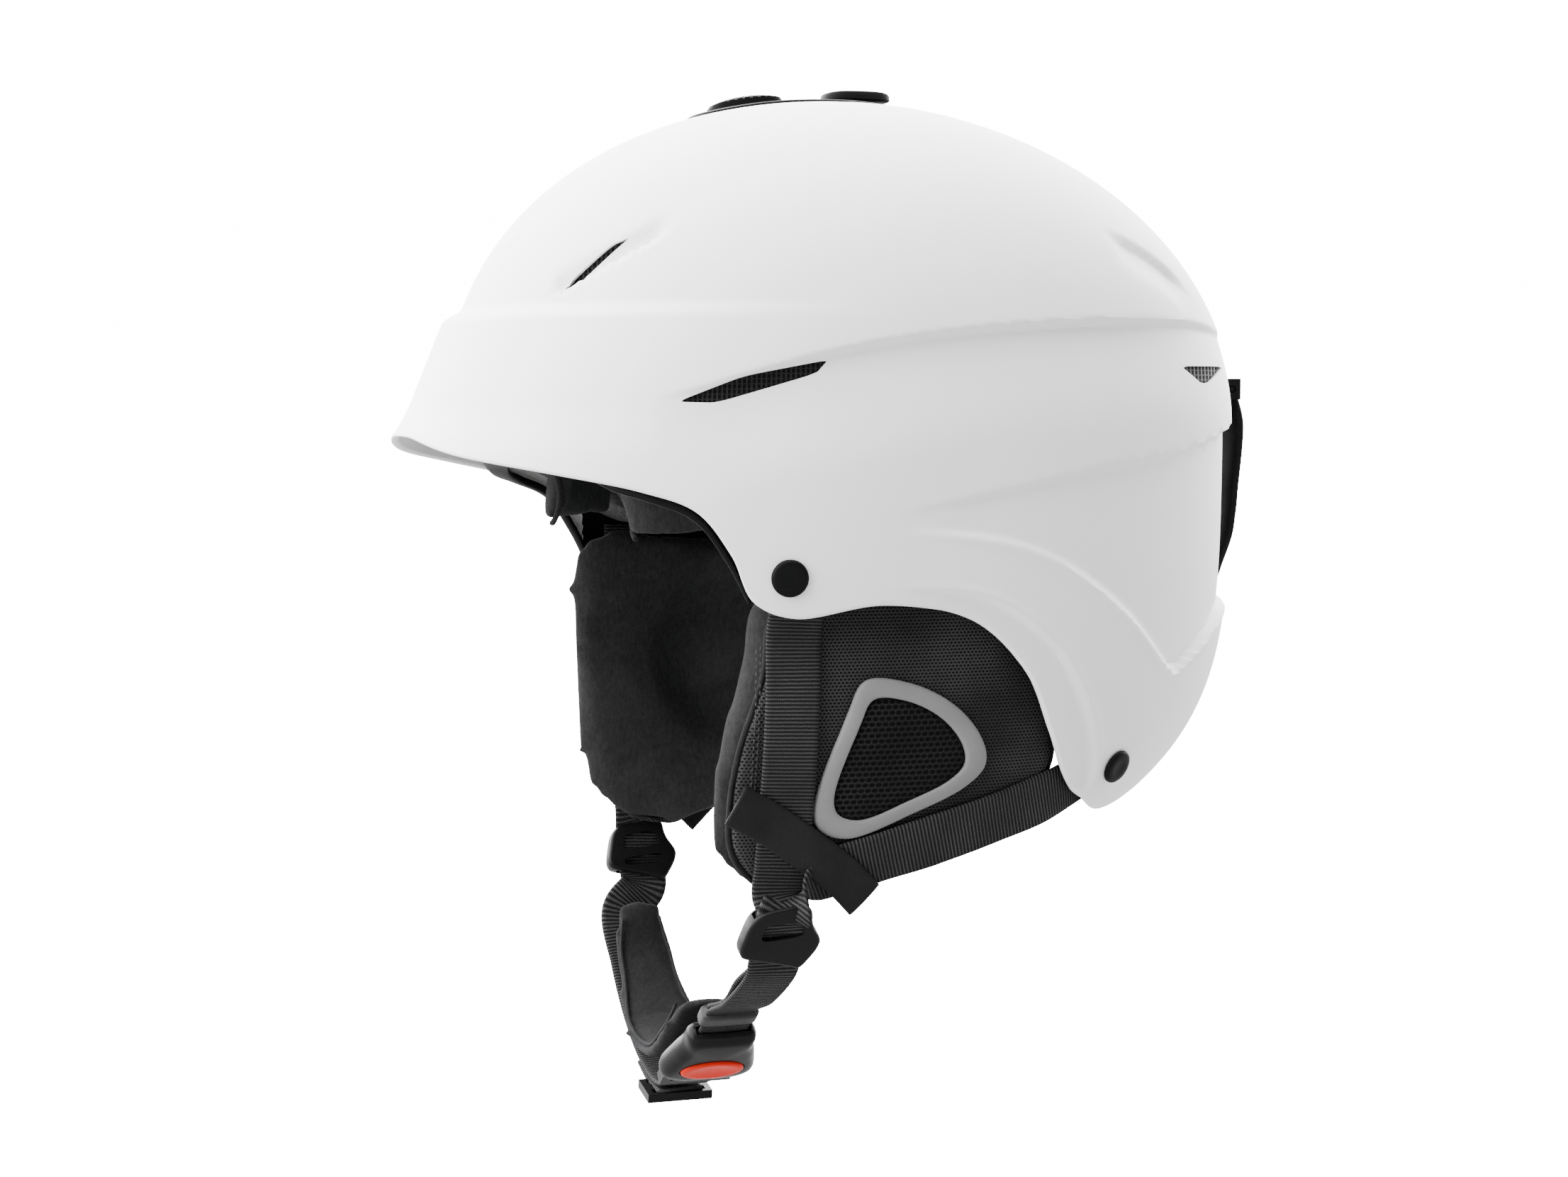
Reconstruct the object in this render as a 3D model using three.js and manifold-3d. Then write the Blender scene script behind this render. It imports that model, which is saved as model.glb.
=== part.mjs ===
// Ski helmet: a hard outer shell over a foam liner, with vents, a goggle clip, a size-adjusting
// headband, padded ear covers, riveted webbing and a chin strap with a push-button buckle.
// Millimetres. +Z is up, the front is -Y and the wearer's left is +X.
// The origin is midway between the centres of the two ear pads.
import * as THREE from "three";
import { mergeVertices } from "three/addons/utils/BufferGeometryUtils.js";
import Module from "manifold-3d";

const wasm = await Module();
wasm.setup();

// ---------------------------------------------------------------- driving dimensions
const GAP = 0.3;

// The dome is a stack of superellipses. BELT_Z is the level where it is widest.
const BELT_Z = 97.2;
const CROWN_Z = 197.4;
const HALF_WIDTH = 109;
const FRONT_REACH = 123.2;
const REAR_REACH = 135.4;
const SQUARENESS = 2.15;
const SIDE_POWER = 2.3;
const FRONT_POWER = 2.14;
const REAR_POWER = 1.93;
const SIDE_TUCK = 0.001;
const NAPE_TUCK = 13;
const NAPE_TUCK_POWER = 4.9;

// The brim leaves the dome at BRIM_Z in a small step and then slopes forward.
const BRIM_Z = 131;
const BRIM_STEP = 4.8;
const BRIM_SLOPE = 0.41;
const BRIM_LIP = 2.7;
const LINER_BROW_SLOPE = 0.12;
const TEMPLE_START = 30;
const TEMPLE_FULL = 58;

// A shallow recess round the back holds the goggle strap.
const BAND_DEPTH = 3;
const BAND_LOW_Z = 40;
const BAND_HIGH_Z = 88;
const BAND_START = 95;
const BAND_FULL = 135;
const BAND_SPREAD = 15;

const SHELL_THICKNESS = 2.2;
const LINER_OUTER = 3.2;
const LINER_INNER = 24;
const PAD_OUTER = LINER_INNER + 1.3;
const PAD_THICKNESS = 7;

// Lower edges as [angle from the front in degrees, height].
const SHELL_EDGE = [
  [0, 90.3], [7, 89.8], [24, 85], [43, 80], [56, 75], [63, 69.5], [68, 57], [71.5, 43], [76, 38.5],
  [85, 42], [94, 37], [102, 21], [107.5, 2], [113, -12], [121, -21], [132, -26.5],
  [143, -23], [151, -12], [163, -2], [180, 1],
];
const LINER_EDGE = [
  [0, 86], [30, 84], [54, 78], [63, 72], [68, 64], [74, 58], [92, 57], [101, 50],
  [108, 38], [117, 24], [128, 16], [144, 13], [180, 16],
];
// Middle of the edging, as [angle from the front in degrees, height].
const TRIM_LINE = [
  [0, 83.6], [30, 81], [43, 78], [50, 75.7], [56, 73.4], [62.5, 68.3], [67.4, 56.2], [70.9, 43.3],
];
const TRIM_DEPTH = 9;
const TRIM_TEMPLE_DEPTH = 3.6;
const EDGE_COLUMNS = 24;
const DEGREE_LENGTH = 2;
// Rows of the dome as shares of the way from the edge to the belt, and from the belt to the crown.
const SHELL_LOWER_ROWS = [0, 0.31, 0.42, 0.66, 0.9];
const LINER_LOWER_ROWS = [0, 0.25, 0.6];
const UPPER_ROWS = [0, 0.11, 0.22, 0.335, 0.5, 0.68, 0.84, 0.95];

const WEBBING_WIDTH = 17;
const WEBBING_THICKNESS = 1.6;
const RIVET_RADIUS = 5.5;
const RIVET_SHANK_RADIUS = 2;

const BUCKLE_CENTRE = new THREE.Vector3(22, -45, -106);
const BUCKLE_TILT = 0.657;
const BUCKLE_LENGTH = 30;
const BUCKLE_THICKNESS = 10;
const BUTTON_SIZE = [11, 21];
const BUTTON_POCKET_DEPTH = 4.2;

const DIAL_CENTRE = new THREE.Vector3(0, 100.5, -8);
const PINION_RADIUS = 6;
const PINION_TEETH = 10;
const TOOTH_HEIGHT = 1;
const TOOTH_ROOT = 1.3;

const COLOURS = {
  shell: [0xf0f0ef, 0.5], foam: [0x1d1e20, 0.9], black: [0x151617, 0.45], mesh: [0x0f1011, 0.8],
  fabric: [0x1a1b1d, 0.95], webbing: [0x18191a, 0.85], trim: [0x8f9090, 0.6],
  button: [0xd5482a, 0.4], gloss: [0x0e0f10, 0.2],
};

// ---------------------------------------------------------------- mesh helpers
const helmet = new THREE.Group();
const sides = { left: 1, right: -1 };

function vec(x, y, z) {
  return new THREE.Vector3(x, y, z);
}

function signedPower(value, power) {
  return Math.sign(value) * Math.abs(value) ** power;
}

function signedVolume(points, faces) {
  let total = 0;
  for (const [a, b, c] of faces) {
    total += points[a].dot(vec(0, 0, 0).crossVectors(points[b], points[c])) / 6;
  }
  return total;
}

function solidFrom(points, faces) {
  const outward = signedVolume(points, faces) > 0;
  const index = faces.flatMap(([a, b, c]) => (outward ? [a, b, c] : [a, c, b]));
  const geometry = new THREE.BufferGeometry();
  const flat = points.flatMap((p) => p.toArray());
  geometry.setAttribute("position", new THREE.Float32BufferAttribute(flat, 3));
  geometry.setIndex(index);
  return geometry;
}

function toManifold(geometry) {
  const plain = geometry.clone();
  plain.deleteAttribute("normal");
  plain.deleteAttribute("uv");
  const merged = mergeVertices(plain, 1e-4);
  return new wasm.Manifold(new wasm.Mesh({
    numProp: 3,
    vertProperties: new Float32Array(merged.attributes.position.array),
    triVerts: new Uint32Array(merged.index.array),
  }));
}

function toGeometry(manifold) {
  const mesh = manifold.getMesh();
  const geometry = new THREE.BufferGeometry();
  geometry.setAttribute("position", new THREE.BufferAttribute(new Float32Array(mesh.vertProperties), 3));
  geometry.setIndex(new THREE.BufferAttribute(new Uint32Array(mesh.triVerts), 1));
  return geometry;
}

function cut(geometry, ...tools) {
  const start = toManifold(geometry);
  return toGeometry(tools.reduce((body, tool) => body.subtract(toManifold(tool)), start));
}

function join(geometry, ...others) {
  const start = toManifold(geometry);
  return toGeometry(others.reduce((body, other) => body.add(toManifold(other)), start));
}

// Skins a row of equal rings of points and closes both ends with a fan about their centres.
function loft(rings) {
  const count = rings[0].length;
  const points = rings.flat();
  const faces = [];
  for (let r = 0; r + 1 < rings.length; r += 1) {
    for (let i = 0; i < count; i += 1) {
      const a = r * count + i;
      const b = r * count + (i + 1) % count;
      faces.push([a, b, b + count], [a, b + count, a + count]);
    }
  }
  const last = (rings.length - 1) * count;
  const ends = [rings[0], rings.at(-1)].map((ring) => {
    const centre = ring.reduce((sum, p) => sum.add(p), vec(0, 0, 0)).divideScalar(count);
    return points.push(centre) - 1;
  });
  for (let i = 0; i < count; i += 1) {
    const next = (i + 1) % count;
    faces.push([ends[0], next, i], [ends[1], last + i, last + next]);
  }
  return solidFrom(points, faces);
}

// Closes two equal grids of points, an outer and an inner face, into one solid.
// With round set, the columns close on themselves and the last row is a single pole.
function doubleGrid(outer, inner, round = false) {
  const columns = outer.length;
  const rows = outer[0].length;
  const points = [];
  const number = (grid) => grid.map((column) => column.map((p) => points.push(p) - 1));
  const faces = [];
  const a = number(outer);
  const b = number(inner);
  const across = round ? columns : columns - 1;
  for (let i = 0; i < across; i += 1) {
    const n = (i + 1) % columns;
    for (let j = 0; j + 1 < rows; j += 1) {
      faces.push([a[i][j], a[n][j], a[n][j + 1]], [a[i][j], a[n][j + 1], a[i][j + 1]]);
      faces.push([b[i][j], b[n][j + 1], b[n][j]], [b[i][j], b[i][j + 1], b[n][j + 1]]);
    }
    faces.push([a[i][0], b[n][0], a[n][0]], [a[i][0], b[i][0], b[n][0]]);
    if (!round) {
      const t = rows - 1;
      faces.push([a[i][t], a[n][t], b[n][t]], [a[i][t], b[n][t], b[i][t]]);
    }
  }
  if (round) {
    const poles = [points.push(outer[0].pole) - 1, points.push(inner[0].pole) - 1];
    const t = rows - 1;
    for (let i = 0; i < columns; i += 1) {
      const n = (i + 1) % columns;
      faces.push([a[i][t], a[n][t], poles[0]], [b[n][t], b[i][t], poles[1]]);
    }
  } else {
    for (let j = 0; j + 1 < rows; j += 1) {
      const e = columns - 1;
      faces.push([a[0][j], a[0][j + 1], b[0][j + 1]], [a[0][j], b[0][j + 1], b[0][j]]);
      faces.push([a[e][j], b[e][j + 1], a[e][j + 1]], [a[e][j], b[e][j], b[e][j + 1]]);
    }
  }
  return solidFrom(points, faces);
}

function steps(count, from = 0, to = 1) {
  return Array.from({ length: count + 1 }, (_, i) => from + (to - from) * i / count);
}

// Flat webbing along points [x, y, z], with its width along the matching directions.
function ribbon(stops, width = WEBBING_WIDTH, thickness = WEBBING_THICKNESS, sections = 14) {
  const centre = new THREE.CatmullRomCurve3(stops.map(({ at }) => vec(...at)), false, "centripetal");
  const widths = new THREE.CatmullRomCurve3(stops.map(({ wide }) => vec(...wide)), false, "centripetal");
  return loft(steps(sections).map((t) => {
    const along = centre.getTangent(t);
    const wide = widths.getPoint(t);
    wide.addScaledVector(along, -wide.dot(along)).normalize();
    const out = vec(0, 0, 0).crossVectors(along, wide);
    const corner = (u, v) => centre.getPoint(t)
      .addScaledVector(wide, u * width / 2).addScaledVector(out, v * thickness / 2);
    return [corner(-1, -1), corner(1, -1), corner(1, 1), corner(-1, 1)];
  }));
}

function mirrored(geometry) {
  const other = geometry.clone();
  const merged = other.index ? other : mergeVertices(other);
  merged.scale(-1, 1, 1);
  const order = Array.from(merged.index.array);
  for (let i = 0; i < order.length; i += 3) {
    [order[i + 1], order[i + 2]] = [order[i + 2], order[i + 1]];
  }
  merged.setIndex(order);
  return merged;
}

function add(name, geometry, look, parent = helmet) {
  const [color, roughness] = COLOURS[look];
  const material = new THREE.MeshStandardMaterial({ color, roughness, metalness: 0 });
  const mesh = new THREE.Mesh(geometry, material);
  mesh.name = name;
  parent.add(mesh);
  return mesh;
}

// Adds a piece made for the wearer's left and its mirror image for the right.
function addPair(name, geometry, look) {
  add(`${name}_left`, geometry, look);
  add(`${name}_right`, mirrored(geometry), look);
}

// ---------------------------------------------------------------- the dome's surface
function taper(share, power) {
  return (1 - share ** power) ** (1 / power);
}

// Half width, front reach and rear reach of the dome at a height, inset from its outer face.
// The brim share runs from 0, for the liner's steeper brow, to 1, for the full brim.
function halfSizes(z, inset, brimShare) {
  const height = CROWN_Z - BELT_Z - inset;
  const share = Math.min(Math.max((z - BELT_Z) / height, 0), 1);
  const below = Math.max(BELT_Z - z, 0);
  const side = (HALF_WIDTH - inset) * taper(share, SIDE_POWER) - SIDE_TUCK * below ** 2;
  const rear = (REAR_REACH - inset) * taper(share, REAR_POWER)
    - NAPE_TUCK * (below / 100) ** NAPE_TUCK_POWER;
  const drop = Math.max(BRIM_Z - z, 0);
  const frontShare = drop > 0 ? (BRIM_Z - BELT_Z) / height : share;
  let front = (FRONT_REACH - inset) * taper(frontShare, FRONT_POWER);
  if (drop > 0) {
    const step = BRIM_STEP * THREE.MathUtils.smoothstep(drop, 0, 5);
    const lip = BRIM_LIP * THREE.MathUtils.smoothstep(-z, -100, -84);
    const brim = BRIM_SLOPE * drop + step + lip;
    front += THREE.MathUtils.lerp(LINER_BROW_SLOPE * drop, brim, brimShare);
  }
  return { side, front, rear };
}

// Degrees from the front, on either side.
function turnOf(angle) {
  return Math.abs(THREE.MathUtils.radToDeg(Math.atan2(Math.sin(angle), Math.cos(angle))));
}

// Depth of the strap recess. Behind it the liner keeps clear over a taller band.
function bandRecess(angle, z, spread) {
  const turn = turnOf(angle);
  const round = THREE.MathUtils.smoothstep(turn, BAND_START - spread, BAND_FULL - spread);
  const low = THREE.MathUtils.smoothstep(z, BAND_LOW_Z - 10 - 2 * spread, BAND_LOW_Z - 2 * spread);
  const high = 1 - THREE.MathUtils.smoothstep(z, BAND_HIGH_Z + spread, BAND_HIGH_Z + 6 + 2 * spread);
  return BAND_DEPTH * round * low * high;
}

// The point of the dome at an angle from the front, towards the wearer's left, and a height.
// Inside the shell, what lies on the liner follows the brim only at the temples.
function domePoint(angle, z, inset = 0, brim = true) {
  const recess = bandRecess(angle, z, brim ? 0 : BAND_SPREAD);
  const brimShare = brim ? 1 : THREE.MathUtils.smoothstep(turnOf(angle), TEMPLE_START, TEMPLE_FULL);
  const { side, front, rear } = halfSizes(z, inset, brimShare);
  const across = Math.sin(angle);
  const along = Math.cos(angle);
  const reach = along > 0 ? front : rear - recess;
  const wide = side - recess * across ** 2;
  const x = wide * signedPower(across, 2 / SQUARENESS);
  return vec(x, -reach * signedPower(along, 2 / SQUARENESS), z);
}

// Heights of the rows of one meridian, from its lower edge to just below the crown.
function meridian(low, inset, lowerRows) {
  const height = CROWN_Z - BELT_Z - inset;
  const lower = lowerRows.map((share) => low + (BELT_Z - low) * share);
  return [...lower, ...UPPER_ROWS.map((share) => BELT_Z + share * height)];
}

// Angles and heights along an edge, evenly spaced along its length, all the way round.
function edgeColumns(outline, columns = EDGE_COLUMNS) {
  const curve = new THREE.CatmullRomCurve3(
    outline.map(([degrees, z]) => vec(degrees * DEGREE_LENGTH, z, 0)), false, "centripetal");
  const half = curve.getSpacedPoints(columns).map((p) => [p.x / DEGREE_LENGTH, p.y]);
  const back = half.slice(1, -1).reverse().map(([degrees, z]) => [-degrees, z]);
  return [...half, ...back].map(([degrees, z]) => [THREE.MathUtils.degToRad(degrees), z]);
}

// Height of an edge at an angle.
function edgeHeight(outline, degrees) {
  const next = outline.findIndex(([at]) => at >= Math.abs(degrees) - 1e-6);
  const [a, b] = [outline[Math.max(next - 1, 0)], outline[next]];
  return a === b ? a[1] : a[1] + (b[1] - a[1]) * (Math.abs(degrees) - a[0]) / (b[0] - a[0]);
}

function domeSolid(columns, outerInset, innerInset, brim, lowerRows) {
  const layer = (inset) => {
    const grid = columns.map(([angle, low]) => meridian(low, inset, lowerRows)
      .map((z) => domePoint(angle, z, inset, brim)));
    grid[0].pole = vec(0, 0, CROWN_Z - inset);
    return grid;
  };
  return doubleGrid(layer(outerInset), layer(innerInset), true);
}

const shellColumns = edgeColumns(SHELL_EDGE);
const linerColumns = shellColumns.map(([angle]) => [
  angle, edgeHeight(LINER_EDGE, THREE.MathUtils.radToDeg(angle))]);

// A patch of the dome between two angles and between two heights that may vary with the angle.
function domePatch(angles, low, high, outerInset, innerInset, rows = 3, columns = 8, brim = false) {
  const list = steps(columns, ...angles.map(THREE.MathUtils.degToRad));
  const layer = (inset, shrink) => list.map((angle) => {
    const degrees = THREE.MathUtils.radToDeg(angle);
    return steps(rows, low(degrees) + shrink, high(degrees) - shrink)
      .map((z) => domePoint(angle, z, inset, brim));
  });
  return doubleGrid(layer(outerInset, 0), layer(innerInset, brim ? 0 : 3));
}

function domeHeight(x, y, inset = 0) {
  let low = BELT_Z;
  let high = CROWN_Z - inset;
  for (let i = 0; i < 40; i += 1) {
    const z = (low + high) / 2;
    const { side, front, rear } = halfSizes(z, inset, 0);
    const reach = y < 0 ? front : rear;
    const out = Math.abs(x / side) ** SQUARENESS + Math.abs(y / reach) ** SQUARENESS > 1;
    [low, high] = out ? [low, z] : [z, high];
  }
  return low;
}

function wallX(y, z, inset) {
  const { side, front, rear } = halfSizes(z, inset, 1);
  const reach = y < 0 ? front : rear;
  return side * (1 - Math.abs(y / reach) ** SQUARENESS) ** (1 / SQUARENESS);
}

function wallY(x, z, inset) {
  const { side, rear } = halfSizes(z, inset, 1);
  return rear * (1 - Math.abs(x / side) ** SQUARENESS) ** (1 / SQUARENESS);
}

// A prism along an axis over a flat outline, used to cut and to fill the vents.
function prism(outline, depth, place) {
  const shape = new THREE.Shape(outline.map(([u, v]) => new THREE.Vector2(u, v)));
  const geometry = new THREE.ExtrudeGeometry(shape, { depth, bevelEnabled: false, curveSegments: 10 });
  geometry.applyMatrix4(place);
  return geometry;
}

function basis(x, y, z, at = vec(0, 0, 0)) {
  return new THREE.Matrix4().makeBasis(x, y, z).setPosition(at);
}

function box(size, centre) {
  const geometry = new THREE.BoxGeometry(...size);
  geometry.translate(...centre);
  return geometry;
}

// ---------------------------------------------------------------- vents
// Outlines in the plane that each vent is cut square to, as [along, up].
const SIDE_VENT = [[-76, 101.3], [-65, 101], [-37, 109.5], [-33.5, 113.4], [-58, 108.7]];
const REAR_VENT = [[-19, 112.2], [20, 112.4], [-1, 107], [-8, 107]];
const FRONT_VENT = [[-14, -1.6], [-8, -2.1], [14, 0], [8, 1.5], [-8, 0.6]];
const VENT_REACH = 40;

function middleOf(outline) {
  const count = outline.length;
  return outline.reduce(([u, v], [a, b]) => [u + a / count, v + b / count], [0, 0]);
}

// The outline with each corner moved the given distance towards the middle.
function shrunk(outline, by) {
  const middle = middleOf(outline);
  return outline.map(([u, v]) => {
    const length = Math.hypot(u - middle[0], v - middle[1]);
    const keep = (length - by) / length;
    return [middle[0] + (u - middle[0]) * keep, middle[1] + (v - middle[1]) * keep];
  });
}

const VENTS = {
  side: {
    outline: SIDE_VENT, trim: 1,
    place: basis(vec(0, 1, 0), vec(0, 0, 1), vec(1, 0, 0), vec(78, 0, 0)),
    patch: { angles: [50, 84], low: 97, high: 118 },
  },
  rear: {
    outline: REAR_VENT, trim: 0.8,
    place: basis(vec(-0.69, 0.72, 0), vec(0, 0, 1), vec(0.72, 0.69, 0), vec(52, 85.8, 0)),
    patch: { angles: [124, 150], low: 103, high: 117 },
  },
  front: {
    outline: FRONT_VENT, trim: 0.45,
    place: basis(
      vec(0.5, 0.64, 0.58), vec(-0.46, -0.37, 0.81), vec(0.73, -0.67, 0.11), vec(34, -69, 138)),
    patch: { angles: [26, 48], low: 128, high: 156 },
  },
};

function ventCutter({ outline, place }) {
  return prism(outline, VENT_REACH, place);
}

function ventMesh({ outline, trim, place, patch }) {
  const layer = domePatch(patch.angles, () => patch.low, () => patch.high, 0.9, 1.9, 6, 8, true);
  const filler = prism(shrunk(outline, trim), VENT_REACH, place);
  return toGeometry(toManifold(layer).intersect(toManifold(filler)));
}

// ---------------------------------------------------------------- crown vent and slider
const FRAME_HALF_WIDTH = 15;
const FRAME_FRONT_Y = -46;
const FRAME_REAR_Y = 29;
const FRAME_PROUD = 0.9;
const SLIDER_TRAVEL = 10;
const KNOB_Y = [-0.6, 22];
const KNOB_Z = [198.6, 200.7];
const KNOB_HALF_WIDTH = 7.5;
const STEM_Y = [6.6, 14.6];
const STEM_HALF_WIDTH = 2.4;
const SHUTTER_Z = [187.4, 188.6];
const SHUTTER_Y = [-34, 22];
const SHUTTER_HALF_WIDTH = 11.5;
const CROWN_POCKET_Z = 186.6;
const CROWN_SLOTS = [-36, -16];
const CROWN_SLOT_LENGTH = 9;
const CROWN_SLOT_X = 7.5;
const CROWN_SLOT_WIDTH = 5;

function ovalRing(scale, heightAt, yRange, halfWidth, count = 20) {
  const middle = (yRange[0] + yRange[1]) / 2;
  const halfLength = (yRange[1] - yRange[0]) / 2;
  return steps(count, 0, 2 * Math.PI).slice(0, -1).map((t) => {
    const x = scale * halfWidth * signedPower(Math.cos(t), 0.7);
    const y = middle + scale * halfLength * signedPower(Math.sin(t), 0.8);
    return vec(x, y, heightAt(x, y));
  });
}

function ovalPlate(yRange, halfWidth, bottom, top, scales = [0.4, 0.75, 1]) {
  const under = scales.map((s) => ovalRing(s, bottom, yRange, halfWidth));
  const over = [...scales].reverse().map((s) => ovalRing(s, top, yRange, halfWidth));
  return loft([...under, ...over]);
}

function crownSlots() {
  return CROWN_SLOTS.flatMap((y) => [-1, 1].map((side) => box(
    [CROWN_SLOT_WIDTH, CROWN_SLOT_LENGTH, 30],
    [side * CROWN_SLOT_X, y + CROWN_SLOT_LENGTH / 2, 190])));
}

const crownHole = ovalPlate([FRAME_FRONT_Y, FRAME_REAR_Y], FRAME_HALF_WIDTH,
  () => CROWN_POCKET_Z, () => CROWN_Z + 5, [1]);

function crownVentFrame() {
  const body = ovalPlate([FRAME_FRONT_Y + GAP, FRAME_REAR_Y - GAP], FRAME_HALF_WIDTH - GAP,
    (x, y) => domeHeight(x, y) - SHELL_THICKNESS, (x, y) => domeHeight(x, y) + FRAME_PROUD);
  const hoodTop = (x, y) => domeHeight(x, y) + 1.2 + 2 * Math.max(0, 1 - ((y + 27) / 13) ** 2) ** 0.5;
  const hood = ovalPlate([-40, -14], 4.6, (x, y) => domeHeight(x, y), hoodTop, [0.5, 0.85, 1]);
  const track = box([2 * (STEM_HALF_WIDTH + 0.5), STEM_Y[1] - STEM_Y[0] + SLIDER_TRAVEL + 1, 30],
    [0, (STEM_Y[0] + STEM_Y[1] - SLIDER_TRAVEL) / 2, 190]);
  return cut(join(body, hood), track, ...crownSlots());
}

function ventSlider() {
  const knob = ovalPlate(KNOB_Y, KNOB_HALF_WIDTH, () => KNOB_Z[0],
    (x, y) => KNOB_Z[1] - 0.9 * ((y - 10.7) / 11.3) ** 4, [0.5, 0.85, 1]);
  const stem = box([2 * STEM_HALF_WIDTH, STEM_Y[1] - STEM_Y[0], KNOB_Z[0] - SHUTTER_Z[1] + 0.6],
    [0, (STEM_Y[0] + STEM_Y[1]) / 2, (KNOB_Z[0] + SHUTTER_Z[1]) / 2 + 0.55]);
  return join(knob, stem);
}

function ventShutter() {
  const plate = box([2 * SHUTTER_HALF_WIDTH, SHUTTER_Y[1] - SHUTTER_Y[0], SHUTTER_Z[1] - SHUTTER_Z[0]],
    [0, (SHUTTER_Y[0] + SHUTTER_Y[1]) / 2, (SHUTTER_Z[0] + SHUTTER_Z[1]) / 2]);
  return cut(plate, ...crownSlots());
}

// ---------------------------------------------------------------- shell, liner and inner pads
function shutterPocket() {
  const length = SHUTTER_Y[1] - SHUTTER_Y[0] + SLIDER_TRAVEL + 2;
  return box([2 * SHUTTER_HALF_WIDTH + 1.6, length, 40],
    [0, (SHUTTER_Y[0] + SHUTTER_Y[1] - SLIDER_TRAVEL) / 2, CROWN_POCKET_Z + 20]);
}

function outerShell() {
  const wall = domeSolid(shellColumns, 0, SHELL_THICKNESS, true, SHELL_LOWER_ROWS);
  const vents = Object.values(VENTS).map(ventCutter);
  const holes = [FRONT_RIVET, REAR_RIVET].map((at) => rivetShank(at, RIVET_SHANK_RADIUS + GAP, 9));
  return cut(wall, crownHole, ...vents, ...vents.map(mirrored), ...holes, ...holes.map(mirrored));
}

function foamLiner() {
  const wall = domeSolid(linerColumns, LINER_OUTER, LINER_INNER, false, LINER_LOWER_ROWS);
  const ports = CROWN_SLOTS.map((y) => box(
    [22, CROWN_SLOT_LENGTH, 80], [0, y + CROWN_SLOT_LENGTH / 2, 190]));
  return cut(wall, shutterPocket(), ...ports);
}

// Edging under the liner's brow that runs on down the temples, just ahead of the shell's edge.
function linerTrim() {
  const half = new THREE.CatmullRomCurve3(
    TRIM_LINE.map(([degrees, z]) => vec(degrees * DEGREE_LENGTH, z, 0)), false, "centripetal")
    .getSpacedPoints(16).map((p) => [p.x / DEGREE_LENGTH, p.y]);
  const line = [...half.slice(1).reverse().map(([degrees, z]) => [-degrees, z]), ...half];
  return loft(line.map(([degrees, z]) => {
    const angle = THREE.MathUtils.degToRad(degrees);
    const narrow = THREE.MathUtils.smoothstep(Math.abs(degrees), 40, 60);
    const depth = THREE.MathUtils.lerp(TRIM_DEPTH, TRIM_TEMPLE_DEPTH, narrow);
    const corner = (inset, lift) => domePoint(angle, z + lift, inset, false);
    const start = SHELL_THICKNESS + 0.6;
    return [corner(start, -1.4), corner(start, 1.4), corner(start + depth, 1.4), corner(start + depth, -1.4)];
  }));
}

function browPad() {
  const low = (degrees) => 82 - 23.6 * THREE.MathUtils.smoothstep(Math.abs(degrees), 18, 44);
  return domePatch([-68, 68], low, (degrees) => low(degrees) + 34, PAD_OUTER,
    PAD_OUTER + PAD_THICKNESS, 3, 22);
}

function innerPads() {
  add("brow_pad", browPad(), "fabric");
  add("nape_pad", domePatch([142, 218], () => 26, () => 68, PAD_OUTER,
    PAD_OUTER + PAD_THICKNESS, 3, 10), "fabric");
  addPair("side_pad", domePatch([84, 126], () => 74, () => 122, PAD_OUTER,
    PAD_OUTER + PAD_THICKNESS, 3, 6), "fabric");
  const inset = (extra) => (x, y) => domeHeight(x, y, PAD_OUTER + 1 + extra);
  add("crown_pad", cut(ovalPlate([-46, 48], 42, inset(PAD_THICKNESS), inset(0)),
    ...CROWN_SLOTS.map((y) => box([24, CROWN_SLOT_LENGTH + 2, 80], [0, y + CROWN_SLOT_LENGTH / 2, 170]))),
  "fabric");
}

// ---------------------------------------------------------------- goggle clip
const CLIP_TOP_Z = 107;
const CLIP_LOW_Z = 38;
const CLIP_PIVOT_Z = 105.3;
const CLIP_THICKNESS = 2;
const CLIP_CROWN = 0.6;
const CLIP_OFFSETS = [[0, 3.4], [0.22, 4.5], [0.55, 4.1], [1, 2.2]];
const CLIP_HALF_WIDTHS = [[0, 15], [0.2, 19], [0.7, 16], [1, 9]];
const SNAP_Z = 47;
const PIVOT_OFFSET = 2.4;
const PIVOT_RADIUS = 1;
const BARREL_RADIUS = 1.9;
const LUG_X = [19.6, 22.6];

function table(stops, t) {
  const next = stops.findIndex(([at]) => at >= t);
  const [a, b] = [stops[Math.max(next - 1, 0)], stops[Math.max(next, 0)]];
  return a === b ? a[1] : a[1] + (b[1] - a[1]) * THREE.MathUtils.smoothstep(t, a[0], b[0]);
}

function rod(radius, from, to, segments = 12) {
  const geometry = new THREE.CylinderGeometry(radius, radius, from.distanceTo(to), segments);
  const along = to.clone().sub(from).normalize();
  geometry.applyQuaternion(new THREE.Quaternion().setFromUnitVectors(vec(0, 1, 0), along));
  const middle = from.clone().add(to).divideScalar(2);
  geometry.translate(...middle.toArray());
  return geometry;
}

const pivotY = wallY(0, CLIP_PIVOT_Z, 0) + PIVOT_OFFSET;

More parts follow.
